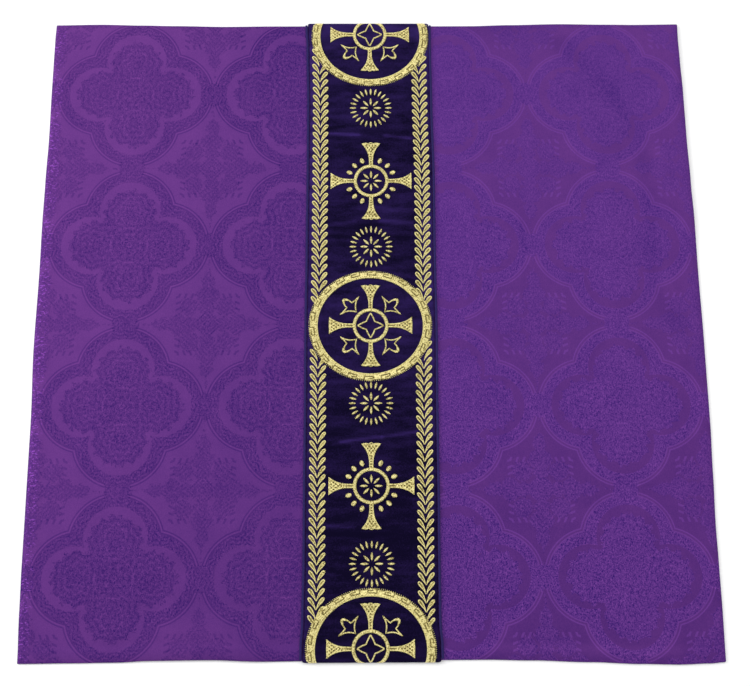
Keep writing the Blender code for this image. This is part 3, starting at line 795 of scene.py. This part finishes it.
def velvet_finish():
    """Velvet: short pile, dark from above, with a painted sheen in its colour: paler where a
    wrinkle lays the pile over, and in strips by the edges.
    """
    finish = Finish(
        "Dark violet velvet", Roughness=0.9, Specular_IOR_Level=0.04,
        Sheen_Weight=0.05, Sheen_Roughness=0.35, Sheen_Tint=(0.34, 0.16, 0.85, 1),
    )
    place = finish.object_place()
    painted_sheen = finish.attribute("painted_sheen")
    pile = finish.noise(place, 0.9 * MM, detail=3.0)
    brushed = finish.noise(place, 10 * MM, detail=3.0, stretch=(0.42, 1.7, 1.0))
    # Painted sheen: the attribute, multiplied by the brushed patches, lightens the colour toward a pale
    # violet.
    shade = painted_sheen * (0.2 + brushed * 1.75) + (brushed - 0.5) * 0.5 + (pile - 0.5) * 0.55 + 0.01
    finish.colour(finish.blend(shade.clamped(), (0.0030, 0.0014, 0.0140, 1), (0.038, 0.018, 0.132, 1)))
    finish.bump(pile, 0.22 * MM)
    return finish.material


velvet_top, velvet_under, velvet_painted_sheen = velvet_surfaces()
orphrey_band = closed_sheet("Velvet_band", velvet_top, velvet_under, velvet_finish())
shade_by(orphrey_band, "painted_sheen", np.concatenate((velvet_painted_sheen, velvet_painted_sheen)))
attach(orphrey_band, "root")
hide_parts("orphrey_band")


# The leaf borders: pairs of looped leaves that climb both sides of the band, worked
# in gold thread as satin stitch. A slack slit is left down the middle of each leaf.
LEAF_PITCH = 6.95 * MM
LEAF_STEM_INSETS = {
    ("upper", "left"): 11.6 * MM,
    ("upper", "right"): 11.2 * MM,
    ("lower", "left"): 11.3 * MM,
    ("lower", "right"): 11.8 * MM,
}
LEAF_RUNS = {"upper": (10.0 * MM, 245.6 * MM), "lower": (-255.0 * MM, -17.45 * MM)}
SLACK_COLUMNS = ("station", "left", "right")
SLACK_ROWS = (
    (-245, 0.6, -1.6),
    (-120, 0.6, -0.3),
    (-24, 0.6, 0.6),
    (30, -1.5, -1.5),
    (70, -0.4, -0.4),
    (126, 0.3, 0.3),
    (200, 1.0, 1.0),
    (218, 1.9, 1.9),
    (245, 3.5, 3.5),
)
LEAF_TIPS = {-1: (5.75 * MM, 1.0 * MM), 1: (6.1 * MM, 1.0 * MM)}
LEAF_TAIL = (0.3 * MM, -8.3 * MM)
LEAF_LEAN_POWER = 1.35
LEAF_HALF_WIDTHS = {"upper": 1.22 * MM, "lower": 1.08 * MM}
LEAF_STITCH_WIDTHS = (0.32 * MM, 0.66 * MM)
# Painted shade in the leaves' slits, darker in the leaves that face left, and painted highlight on the loops,
# stronger on the upper borders.
LEAF_SLIT_PAINTED_SHADES = {-1: 0.42, 1: 0.8}
LEAF_PAINTED_HIGHLIGHTS = {"upper": 1.58, "lower": 1.3}
LEAF_RISE = 0.65 * MM
LEAF_POINTS = 22
LEAF_MIDDLE = np.array((0.55,))
SLIT_SHARES = (0.4, 0.9)
SLIT_HALF_WIDTH = 0.7 * MM
SLIT_RISE = 0.4 * MM
STITCH_SINK = 0.05 * MM
ROUNDEL_HALF_WIDTH = 50.5 * MM
ROUNDEL_HALF_HEIGHT = 46.9 * MM
ROUNDEL_BREADTHS = (6.5 * MM, 5.4 * MM)
ROUNDEL_CENTRES = {
    "roundel_top": (1.7 * MM, 262.2 * MM),
    "roundel_middle": (0.9 * MM, -2.1 * MM),
    "roundel_bottom": (0.3 * MM, -264.4 * MM),
}


class Embroidery:
    """Stitched forms gathered into one piece. Each point keeps its place on the thread
    (the way along it and across it, in mm) and how bright its thread is painted: lower for
    painted shade where stitches sink, higher for painted highlights."""

    def __init__(self):
        self.points = []
        self.faces = []
        self.threads = []
        self.shades = []
        self.count = 0

    def add(self, x, y, rise, along, across, shade, closed):
        """A solid of the sections x, y, rise, one row each, on the velvet.

        Each section runs from its left foot over its crown to its right foot, and its
        last point is joined to its first by the underside."""
        rows, sides = x.shape
        past = np.maximum(y - FAR_TURN, 0) + np.maximum(NEAR_TURN - y, 0)
        rise = rise * (1 - 0.85 * smooth(0, OUTER_TURN, past))
        self.points.append(on_velvet(x, y, rise).reshape(-1, 3))
        number = self.count + np.arange(rows * sides).reshape(rows, sides)
        beside = np.roll(number, -1, axis=1)
        after = np.roll(number, -1, axis=0)
        both = np.roll(beside, -1, axis=0)
        quads = np.stack((number, beside, both, after), axis=-1)
        quads = quads if closed else quads[:-1]
        self.faces += quads.reshape(-1, 4).tolist()
        if not closed:
            self.faces += [number[0][::-1].tolist(), number[-1].tolist()]
        spread = [np.broadcast_to(part, x.shape).ravel() for part in (along, across, shade)]
        self.threads.append(np.stack(spread[:2], axis=1) / MM)
        self.shades.append(spread[2])
        self.count += rows * sides

    def finish(self, name, material, *nodes):
        """Turn what was gathered into a piece that stands for the given nodes."""
        piece = new_mesh_piece(name, np.concatenate(self.points), self.faces, material)
        unwrap(piece, "Thread", np.concatenate(self.threads))
        shade_by(piece, "shade", np.concatenate(self.shades))
        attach(piece, "root")
        if nodes:
            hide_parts(*nodes)


def satin_column(work, path, half_width, rise, closed=False, sides=5, ridge=0.0, pitch=0.8 * MM, shade=1.0):
    """Satin stitch along a path: each section is half an ellipse across the way, as
    high as the thread is full, and ridges cross it, one to a pitch."""
    step = np.roll(path, -1, axis=0) - path
    if not closed:
        step[-1] = step[-2]
    before = np.roll(step, 1, axis=0)
    if not closed:
        before[0] = step[0]
    heading = step / np.hypot(*step.T)[:, None] + before / np.hypot(*before.T)[:, None]
    heading = heading / np.maximum(np.hypot(*heading.T), 0.2)[:, None]
    gone = np.concatenate(([0], np.cumsum(np.hypot(*step[:-1].T))))[:, None]
    turn = np.linspace(0, math.pi, sides)[None, :]
    across = -np.cos(turn)
    half_width = np.broadcast_to(half_width, (len(path),))[:, None]
    x = path[:, :1] + heading[:, 1:] * across * half_width
    y = path[:, 1:] - heading[:, :1] * across * half_width
    full = rise * np.minimum(half_width / np.max(half_width) * 1.4, 1)
    height = STITCH_SINK + full * np.sin(turn) * (1 + ridge * np.cos(2 * math.pi * gone / pitch))
    work.add(x, y, height, gone, across * half_width, shade, closed)


def gold_finish():
    """Metallised gold thread in satin stitch: fine ridges across each column, threads of
    uneven brightness with painted glints from a fine noise, and painted shade in dark olive
    where the stitches sink."""
    finish = Finish("Gold thread", Roughness=0.38, Metallic=0.4, Specular_IOR_Level=0.4)
    along, across = finish.thread_place()
    place = finish.object_place()
    thread = finish.wave(along + across * 0.3, 0.62)
    painted_glint_noise = finish.noise(place, 1.1 * MM)
    wear = finish.noise(place, 6 * MM)
    shade = finish.attribute("shade")
    # Painted light and shade: the shade attribute and the fine noise set how bright the gold shows. Low
    # values fall to a dark olive painted shade, high ones to a pale painted highlight.
    bright = shade * (0.84 + thread * 0.08 + (painted_glint_noise - 0.5) * 3.0 + (wear - 0.5) * 0.4)
    bright = bright.clamped()
    dull = finish.blend(bright * 2.0, (0.045, 0.036, 0.010, 1), (0.480, 0.390, 0.125, 1))
    colour = finish.blend(bright * 2.0 - 1.0, dull, (0.970, 0.870, 0.390, 1))
    finish.colour(colour)
    finish.bump(thread * 0.5 + painted_glint_noise, 0.22 * MM)
    return finish.material


def stem_place(run, side, along):
    """X of a leaf border's stem, which keeps its distance from the band's edge."""
    inset = LEAF_STEM_INSETS[run, side]
    return band_edge(side, along) + (inset if side == "left" else -inset)


def leaf_shift(side, along):
    """How far a border was stretched or drawn in along the band at a place."""
    return from_table(SLACK_ROWS, SLACK_COLUMNS, side, along)


def leaf_way(facing, out):
    """Points on the middle line of a leaf, at shares of the way out from its tail. It
    climbs evenly, and leans out by a power of the share."""
    tip_x, tip_y = LEAF_TIPS[facing]
    tail_x, tail_y = LEAF_TAIL
    x = tail_x + (tip_x - tail_x) * out ** LEAF_LEAN_POWER
    return np.stack((facing * x, tail_y + (tip_y - tail_y) * out), axis=1)


def leaf_loop(facing, half_width):
    """A closed drop round the leaf's middle line, and how far out each of its points
    lies, 0 to 1: the way out is half a cosine of the turn, and the width is the sine of
    the turn by a power of the sine of half of it, which puts it near the tip."""
    turn = np.linspace(0, 2 * math.pi, LEAF_POINTS, endpoint=False) + math.pi / LEAF_POINTS
    out = (1 - np.cos(turn)) / 2
    wide = half_width * np.sin(turn) * np.sin(turn / 2) ** 2.5 / 0.607
    axis = np.subtract(LEAF_TIPS[facing], LEAF_TAIL) * (facing, 1)
    beside = np.array((-axis[1], axis[0])) / np.hypot(*axis)
    return leaf_way(facing, out) + wide[:, None] * beside, out


gold_thread = gold_finish()


def make_leaf_border(side, run):
    """One border: a row of leaf pairs from the top of its run down, each leaf a loop
    with a low filled slit. A leaf that would lie under a roundel is left out."""
    low, high = LEAF_RUNS[run]
    work = Embroidery()
    for number in range(int((high - low) / LEAF_PITCH)):
        top = high - number * LEAF_PITCH
        top += leaf_shift(side, top)
        stem = stem_place(run, side, top)
        for facing in (-1, 1):
            middle = leaf_way(facing, LEAF_MIDDLE)[0] + (stem, top)
            inside = [
                np.hypot(*((middle - centre) / (ROUNDEL_HALF_WIDTH, ROUNDEL_HALF_HEIGHT))) < 0.99
                for centre in ROUNDEL_CENTRES.values()
            ]
            if any(inside):
                continue
            path, out = leaf_loop(facing, LEAF_HALF_WIDTHS[run])
            narrow, wide = LEAF_STITCH_WIDTHS
            width = narrow + (wide - narrow) * out
            # Painted highlight on the loop, painted shade in the slit.
            satin_column(work, path + (stem, top), width, LEAF_RISE, closed=True, shade=LEAF_PAINTED_HIGHLIGHTS[run])
            slit = leaf_way(facing, np.linspace(*SLIT_SHARES, 4)) + (stem, top)
            satin_column(work, slit, SLIT_HALF_WIDTH, SLIT_RISE, sides=3, shade=LEAF_SLIT_PAINTED_SHADES[facing])
    work.finish(f"Leaf_border_{run}_{side}", gold_thread, f"leaves_{run}_{side}")


for leaf_run in LEAF_RUNS:
    for leaf_side in ("left", "right"):
        make_leaf_border(leaf_side, leaf_run)


# The roundels: broad rings in gold thread laid across the ring, edged inside with a
# fine cord and outside with small picots, and worked with a run of hooked keys.
RING_STEP = 0.4 * MM
RING_ACROSS = 19
RING_RISE = 1.1 * MM
KEY_COUNT = 22
KEY_GROOVE = 0.43 * MM
KEY_STEP = 0.8 * MM
KEY_LINES = (
    ((2.0, 7.0), (2.0, 2.6)),
    ((2.0, 2.6), (9.2, 2.6)),
    ((9.2, 2.6), (9.2, 4.9)),
    ((9.2, 4.9), (5.2, 4.9)),
)
PICOT_PITCH = 1.6 * MM
PICOT_LENGTH = 1.1 * MM
PICOT_OFFSET = 0.3 * MM
PICOT_WIDTHS = np.array((0.42, 0.42, 0.38, 0.2)) * MM
PICOT_RISE = 0.6 * MM
CORD_HALF_WIDTH = 0.55 * MM
CORD_RISE = 1.15 * MM


def oval(centre, half_width, half_height, step):
    """Points round an oval, about a step apart."""
    count = int(2 * math.pi * math.sqrt(half_width * half_height) / step)
    turn = np.linspace(0, 2 * math.pi, count, endpoint=False)
    return np.stack((centre[0] + half_width * np.cos(turn), centre[1] + half_height * np.sin(turn)), axis=1)


def on_the_band(path, margin=0.0):
    """The stretches of a closed path that lie on the velvet, its turned ends included.
    A path that lies on it all the way comes back whole and closed."""
    low = NEAR_TURN - OUTER_TURN * 1.9 + margin
    high = FAR_TURN + OUTER_TURN * 1.9 - margin
    inside = (path[:, 1] > low) & (path[:, 1] < high)
    if inside.all():
        return [(path, True)]
    if not inside.any():
        return []
    starts = np.flatnonzero(inside & ~np.roll(inside, 1))
    stretches = []
    for start in starts:
        count = int(np.argmin(np.roll(inside, -start)))
        if count > 3:
            stretches.append((np.roll(path, -start, axis=0)[:count], False))
    return stretches


def key_groove(along, out):
    """How near a place on the ring is to the hooked line of its key, 1 on the line.

    along runs over one key from 0 to 1 and out from the inner edge, 0, to the outer, 1.
    The line drops from the outer edge, runs along, turns back out and hooks inward."""
    length = 2 * math.pi * math.sqrt(ROUNDEL_HALF_WIDTH * ROUNDEL_HALF_HEIGHT) / KEY_COUNT
    s = along * length
    t = out * ROUNDEL_BREADTHS[0]
    near = np.full(np.shape(s), 1.0)
    for (s0, t0), (s1, t1) in KEY_LINES:
        way_s, way_t = (s1 - s0) * MM, (t1 - t0) * MM
        share = np.clip(((s - s0 * MM) * way_s + (t - t0 * MM) * way_t) / (way_s ** 2 + way_t ** 2), 0, 1)
        far = np.hypot(s - s0 * MM - share * way_s, t - t0 * MM - share * way_t)
        near = np.minimum(near, far)
    return np.exp(-(near / KEY_GROOVE) ** 2)


def make_roundel(name, centre):
    """A ring whose threads run outwards: the sections are domed, with a stitch ridge to
    every 0.8 mm, sunk along the keys, and their outer edge steps with each key."""
    work = Embroidery()
    middle = oval(
        centre,
        ROUNDEL_HALF_WIDTH - ROUNDEL_BREADTHS[0] / 2,
        ROUNDEL_HALF_HEIGHT - ROUNDEL_BREADTHS[1] / 2,
        RING_STEP,
    )
    for path, closed in on_the_band(middle):
        away = path - centre
        turn = np.arctan2(away[:, 1] / ROUNDEL_HALF_HEIGHT, away[:, 0] / ROUNDEL_HALF_WIDTH)
        normal = np.stack((np.cos(turn) / ROUNDEL_HALF_WIDTH, np.sin(turn) / ROUNDEL_HALF_HEIGHT), axis=1)
        normal /= np.hypot(*normal.T)[:, None]
        key = (turn / (2 * math.pi) * KEY_COUNT) % 1.0
        step_out = KEY_STEP * (smooth(0.10, 0.14, key) * (1 - smooth(0.60, 0.66, key)) - 0.5)
        across = np.linspace(1, 0, RING_ACROSS)[None, :]
        level, upright = ROUNDEL_BREADTHS
        breadth = (level + (upright - level) * np.sin(turn) ** 2)[:, None]
        reach = (across - 0.5) * breadth + across ** 3 * step_out[:, None]
        x = path[:, :1] + normal[:, :1] * reach
        y = path[:, 1:] + normal[:, 1:] * reach
        groove = key_groove(key[:, None], across)
        dome = (1 - np.abs(2 * across - 1) ** 5) ** 0.5
        gone = np.arange(len(path))[:, None] * RING_STEP
        ridge = 1 + 0.07 * np.cos(2 * math.pi * gone / (2 * RING_STEP))
        height = STITCH_SINK + RING_RISE * dome * ridge * (1 - 0.55 * groove)
        # Painted shade along the keys' grooves and on the ring's outer edge.
        shade = (1.05 - 1.0 * groove) * (1 - 0.35 * smooth(0.86, 1.0, across))
        work.add(x, y, height, gone, reach, shade, closed)
    inner = oval(
        centre,
        ROUNDEL_HALF_WIDTH - ROUNDEL_BREADTHS[0],
        ROUNDEL_HALF_HEIGHT - ROUNDEL_BREADTHS[1],
        0.8 * MM,
    )
    for path, closed in on_the_band(inner):
        # Painted highlight on the cord.
        satin_column(work, path, CORD_HALF_WIDTH, CORD_RISE, closed, shade=1.25)
    picots = oval(centre, ROUNDEL_HALF_WIDTH + PICOT_OFFSET, ROUNDEL_HALF_HEIGHT + PICOT_OFFSET, PICOT_PITCH)
    for place in picots:
        if not NEAR_TURN < place[1] < FAR_TURN:
            continue
        away = (place - centre) / np.hypot(*(place - centre))
        slant = np.array((away[0] - 0.5 * away[1], away[1] + 0.5 * away[0]))
        ends = np.linspace(-0.5, 0.5, 4)[:, None] * PICOT_LENGTH * slant + place
        # Painted highlight on the picots.
        satin_column(work, ends, PICOT_WIDTHS, PICOT_RISE, sides=3, shade=1.1)
    work.finish(f"Ring_{name}", gold_thread, name)


for roundel_name, roundel_centre in ROUNDEL_CENTRES.items():
    make_roundel(roundel_name, roundel_centre)


# The crosses: a satin ring with four flared arms, each arm edged in satin and filled
# with small knotted stitches. Flowers, beads, stars and lilies go with them.
CROSS_CENTRES = {
    "cross_top": (1.45 * MM, 264.1 * MM),
    "cross_upper": (2.1 * MM, 126.2 * MM),
    "cross_middle": (1.15 * MM, -2.15 * MM),
    "cross_lower": (1.2 * MM, -136.0 * MM),
    "cross_bottom": (0.05 * MM, -263.5 * MM),
}
CROSS_RING_RADIUS = 14.9 * MM
CROSS_RING_BREADTH = 2.85 * MM
CROSS_RING_RISE = 1.15 * MM
ARM_REACH = 34.3 * MM
ARM_NECK = 1.5 * MM
ARM_FLARES = {"upright": 6.4 * MM, "level": 5.7 * MM}
ARM_FLARE_POWER = 2.9
ARM_SLITS = {"upright": (0.02, 0.08), "level": (0.22, 0.34)}
SCALLOP_COLUMNS = ("aside", "upright", "level")
SCALLOP_ROWS = (
    (0, 35.4, 34.5),
    (1.2, 35.2, 34.5),
    (1.9, 34.0, 34.4),
    (2.8, 34.7, 34.0),
    (3.7, 34.9, 33.3),
    (4.8, 34.9, 34.1),
    (8.0, 34.4, 34.5),
)
ARM_EDGE_WIDTH = 0.55 * MM
ARM_EDGE_RISE = 0.95 * MM
ARM_FIELD_GRID = (52, 25)
ARM_FIELD_RISE = 0.75 * MM
ARM_PIT_DEPTH = 0.45 * MM
ARM_LADDER_PITCH = 2.2 * MM
ARM_KNOT_PITCHES = (3.8 * MM, 2.8 * MM)
BEAD_ENDS = (17.2 * MM, 22.4 * MM)
BEAD_HALF_WIDTH = 1.95 * MM
BEAD_RISE = 1.1 * MM
BEAD_PLACES = 16
FLOWER_PETALS = (2.5 * MM, 9.3 * MM, 1.1 * MM, 8)
STAR_POINT = 10.6 * MM
STAR_NOTCH = 3.5 * MM
LILY_CORNERS = ((11.7, 11.7), (9.5, 25.1), (15.5, 19.7))
LILY_LOBE = (22.4, 22.4)
LINE_HALF_WIDTHS = {"star": 0.66 * MM, "lily": 0.62 * MM, "cut lily": 0.6 * MM}
LINE_RISE = 0.8 * MM


def turned(path, angle):
    """A path turned about nought."""
    cosine, sine = math.cos(angle), math.sin(angle)
    return path @ np.array(((cosine, sine), (-sine, cosine)))


def bowed(start, end, bow, steps=9):
    """A shallow curve between two points, its middle a bow to the left of straight:
    a parabola on the chord. The end point is left out."""
    share = np.linspace(0, 1, steps, endpoint=False)[:, None]
    start, end = np.array(start, dtype=float), np.array(end, dtype=float)
    chord = end - start
    left = np.array((-chord[1], chord[0])) / np.hypot(*chord)
    return start + share * chord + 4 * share * (1 - share) * bow * left


def wholly_on_the_band(path):
    """Whether a path clears the velvet's turned ends."""
    y = path[:, 1]
    return NEAR_TURN - OUTER_TURN < y.min() and y.max() < FAR_TURN + OUTER_TURN


def spindle(work, inner, outer, half_width, angle, centre, rise=LINE_RISE, power=0.75, steps=9):
    """A petal or bead that points outwards, half a sine to a power wide."""
    share = np.linspace(0.02, 0.98, steps)
    path = np.stack((inner + share * (outer - inner), np.zeros(steps)), axis=1)
    width = half_width * np.sin(math.pi * share) ** power
    place = turned(path, angle) + centre
    if wholly_on_the_band(place):
        satin_column(work, place, width, rise)


def flower(work, centre):
    """Eight pointed petals round a bare middle."""
    inner, outer, half_width, count = FLOWER_PETALS
    for number in range(count):
        spindle(work, inner, outer, half_width, number * 2 * math.pi / count, centre)


def arm_half_width(along, way):
    """Half the arm's width at a distance from the cross's middle: its neck and a flare
    that grows by a power of the share gone."""
    root = math.sqrt(CROSS_RING_RADIUS ** 2 - ARM_NECK ** 2)
    share = np.clip((along - root) / (ARM_REACH - root), 0, 1)
    return ARM_NECK + ARM_FLARES[way] * share ** ARM_FLARE_POWER


def arm_end(aside, way):
    """How far the arm reaches at a distance to one side of its axis: its scalloped end."""
    reach = column(SCALLOP_ROWS, SCALLOP_COLUMNS, way)
    return np.interp(np.abs(aside), column(SCALLOP_ROWS, SCALLOP_COLUMNS, "aside"), reach)


def arm_pits(along, aside, share, way):
    """How deep the field is sunk, 0 to 1: a slit by the ring, then a ladder of pits on
    the axis, then rows of pits that stand between those of the next row."""
    slit_end = ARM_SLITS[way]
    middle = np.exp(-(aside / (0.75 * MM)) ** 2)
    slit = (1 - smooth(*slit_end, share)) * np.exp(-(aside / (0.55 * MM)) ** 2)
    rungs = smooth(-0.3, 0.4, np.cos(2 * math.pi * along / ARM_LADDER_PITCH))
    ladder = rungs * middle * smooth(*slit_end, share) * (1 - smooth(0.5, 0.62, share))
    pitch_along, pitch_aside = ARM_KNOT_PITCHES
    knots = np.cos(2 * math.pi * along / pitch_along) * np.cos(2 * math.pi * aside / pitch_aside)
    field = smooth(0.0, 0.6, knots) * smooth(0.5, 0.6, share) * (1 - smooth(0.88, 0.95, share))
    return np.maximum(np.maximum(slit, ladder), field)


def cross_arm(work, centre, angle, way):
    """One arm: a low field with sunk stitches, and a satin edge round it."""
    root = CROSS_RING_RADIUS - 0.6 * MM
    end_width = arm_half_width(ARM_REACH, way)
    share = np.linspace(0, 1, ARM_FIELD_GRID[0])[:, None]
    across = np.linspace(-1, 1, ARM_FIELD_GRID[1])[None, :]
    along = root + share * (arm_end(across * end_width, way) - root)
    near_end = smooth(0.9, 1, share)
    aside = across * (arm_half_width(along, way) * (1 - near_end) + end_width * near_end)
    dome = (1 - np.abs(across) ** 6) ** 0.5
    pits = arm_pits(along, aside, share, way)
    height = STITCH_SINK + dome * (ARM_FIELD_RISE - ARM_PIT_DEPTH * pits)
    # Painted shade in the sunk pits and the slit.
    shade = 0.95 - 0.85 * pits
    flat = np.stack((along, -aside), axis=-1)
    where = turned(flat.reshape(-1, 2), angle).reshape(*flat.shape) + centre
    work.add(where[..., 0], where[..., 1], height, along, aside, shade, False)
    side_along = np.linspace(root, ARM_REACH, 30)
    side = np.stack((side_along, arm_half_width(side_along, way) - 0.3 * MM), axis=1)
    scallop_aside = np.linspace(end_width, 0, 18)[1:]
    scallop = np.stack((arm_end(scallop_aside, way) - 0.45 * MM, scallop_aside), axis=1)
    half = np.vstack((side, scallop))
    whole = np.vstack((half, half[-2::-1] * (1, -1)))
    # Painted highlight on the satin edge.
    satin_column(work, turned(whole, angle) + centre, ARM_EDGE_WIDTH, ARM_EDGE_RISE, shade=1.15)


def star(work, centre):
    """A four-pointed star drawn in one satin line."""
    for number in range(4):
        angle = number * math.pi / 2
        side_in = bowed((STAR_POINT, 0), (STAR_NOTCH, STAR_NOTCH), -0.25 * MM)
        side_out = bowed((STAR_NOTCH, STAR_NOTCH), (0, STAR_POINT), -0.25 * MM, 10)
        path = np.vstack((side_in, side_out, ((0, STAR_POINT),)))
        place = turned(path, angle) + centre
        for stretch, _ in on_the_band(place):
            satin_column(work, stretch, LINE_HALF_WIDTHS["star"], LINE_RISE)


def lily(work, centre, quarter):
    """An open lily drawn in one satin line, mirrored on its diagonal."""
    corners = np.array(LILY_CORNERS) * MM
    lobe = np.array(LILY_LOBE) * MM
    half = np.vstack(
        (
            bowed(corners[0], corners[1], -1.8 * MM),
            bowed(corners[1], corners[2], -0.2 * MM),
            bowed(corners[2], lobe, 0.9 * MM, 12),
        )
    )
    path = np.vstack((half, half[:0:-1, ::-1]))
    near_lobe = 1 - smooth(1.5 * MM, 5.0 * MM, np.hypot(*(path - lobe).T))
    place = turned(path, quarter * math.pi / 2) + centre
    if wholly_on_the_band(place):
        width = LINE_HALF_WIDTHS["lily"] + 0.55 * MM * near_lobe
        satin_column(work, place, width, LINE_RISE, closed=True)
        return
    for stretch, closed in on_the_band(place, 3.6 * MM):
        satin_column(work, stretch, LINE_HALF_WIDTHS["cut lily"], LINE_RISE, closed)


def make_cross(name, centre):
    """A cross with its ring, arms and the small figures inside and round it."""
    work = Embroidery()
    in_roundel = name in ("cross_top", "cross_middle", "cross_bottom")
    ring_middle = CROSS_RING_RADIUS - CROSS_RING_BREADTH / 2
    for path, closed in on_the_band(oval(centre, ring_middle, ring_middle, RING_STEP)):
        half_breadth = CROSS_RING_BREADTH / 2
        satin_column(work, path, half_breadth, CROSS_RING_RISE, closed, 9, ridge=0.06, pitch=2 * RING_STEP)
    for number in range(4):
        angle = number * math.pi / 2
        tip_y = centre[1] + ARM_REACH * math.sin(angle)
        if NEAR_TURN < tip_y < FAR_TURN:
            cross_arm(work, centre, angle, "upright" if number % 2 else "level")
    if in_roundel:
        star(work, centre)
        for quarter in range(4):
            lily(work, centre, quarter)
    else:
        flower(work, centre)
        for number in range(BEAD_PLACES):
            if number % 4:
                angle = number * 2 * math.pi / BEAD_PLACES
                spindle(work, *BEAD_ENDS, BEAD_HALF_WIDTH, angle, centre, BEAD_RISE, 0.5, 10)
    work.finish(f"Embroidered_{name}", gold_thread, name)


for cross_name, cross_centre in CROSS_CENTRES.items():
    make_cross(cross_name, cross_centre)


# The rosettes: a flower of eight petals inside a ring of short rays, in gold thread.
# One stands between each cross and the next.
ROSETTE_CENTRES = ((2.1, 194.0), (1.9, 66.9), (1.3, -68.1), (1.3, -198.0))
ROSETTE_RAYS = (12.3 * MM, 18.4 * MM, 1.0 * MM, 24)

for rosette_number, rosette_centre in enumerate(ROSETTE_CENTRES):
    rosette = Embroidery()
    rosette_middle = np.array(rosette_centre) * MM
    flower(rosette, rosette_middle)
    ray_inner, ray_outer, ray_half_width, ray_count = ROSETTE_RAYS
    for ray in range(ray_count):
        spindle(
            rosette, ray_inner, ray_outer, ray_half_width, ray * 2 * math.pi / ray_count, rosette_middle
        )
    rosette.finish(f"Rosette_{rosette_number + 1}", gold_thread)
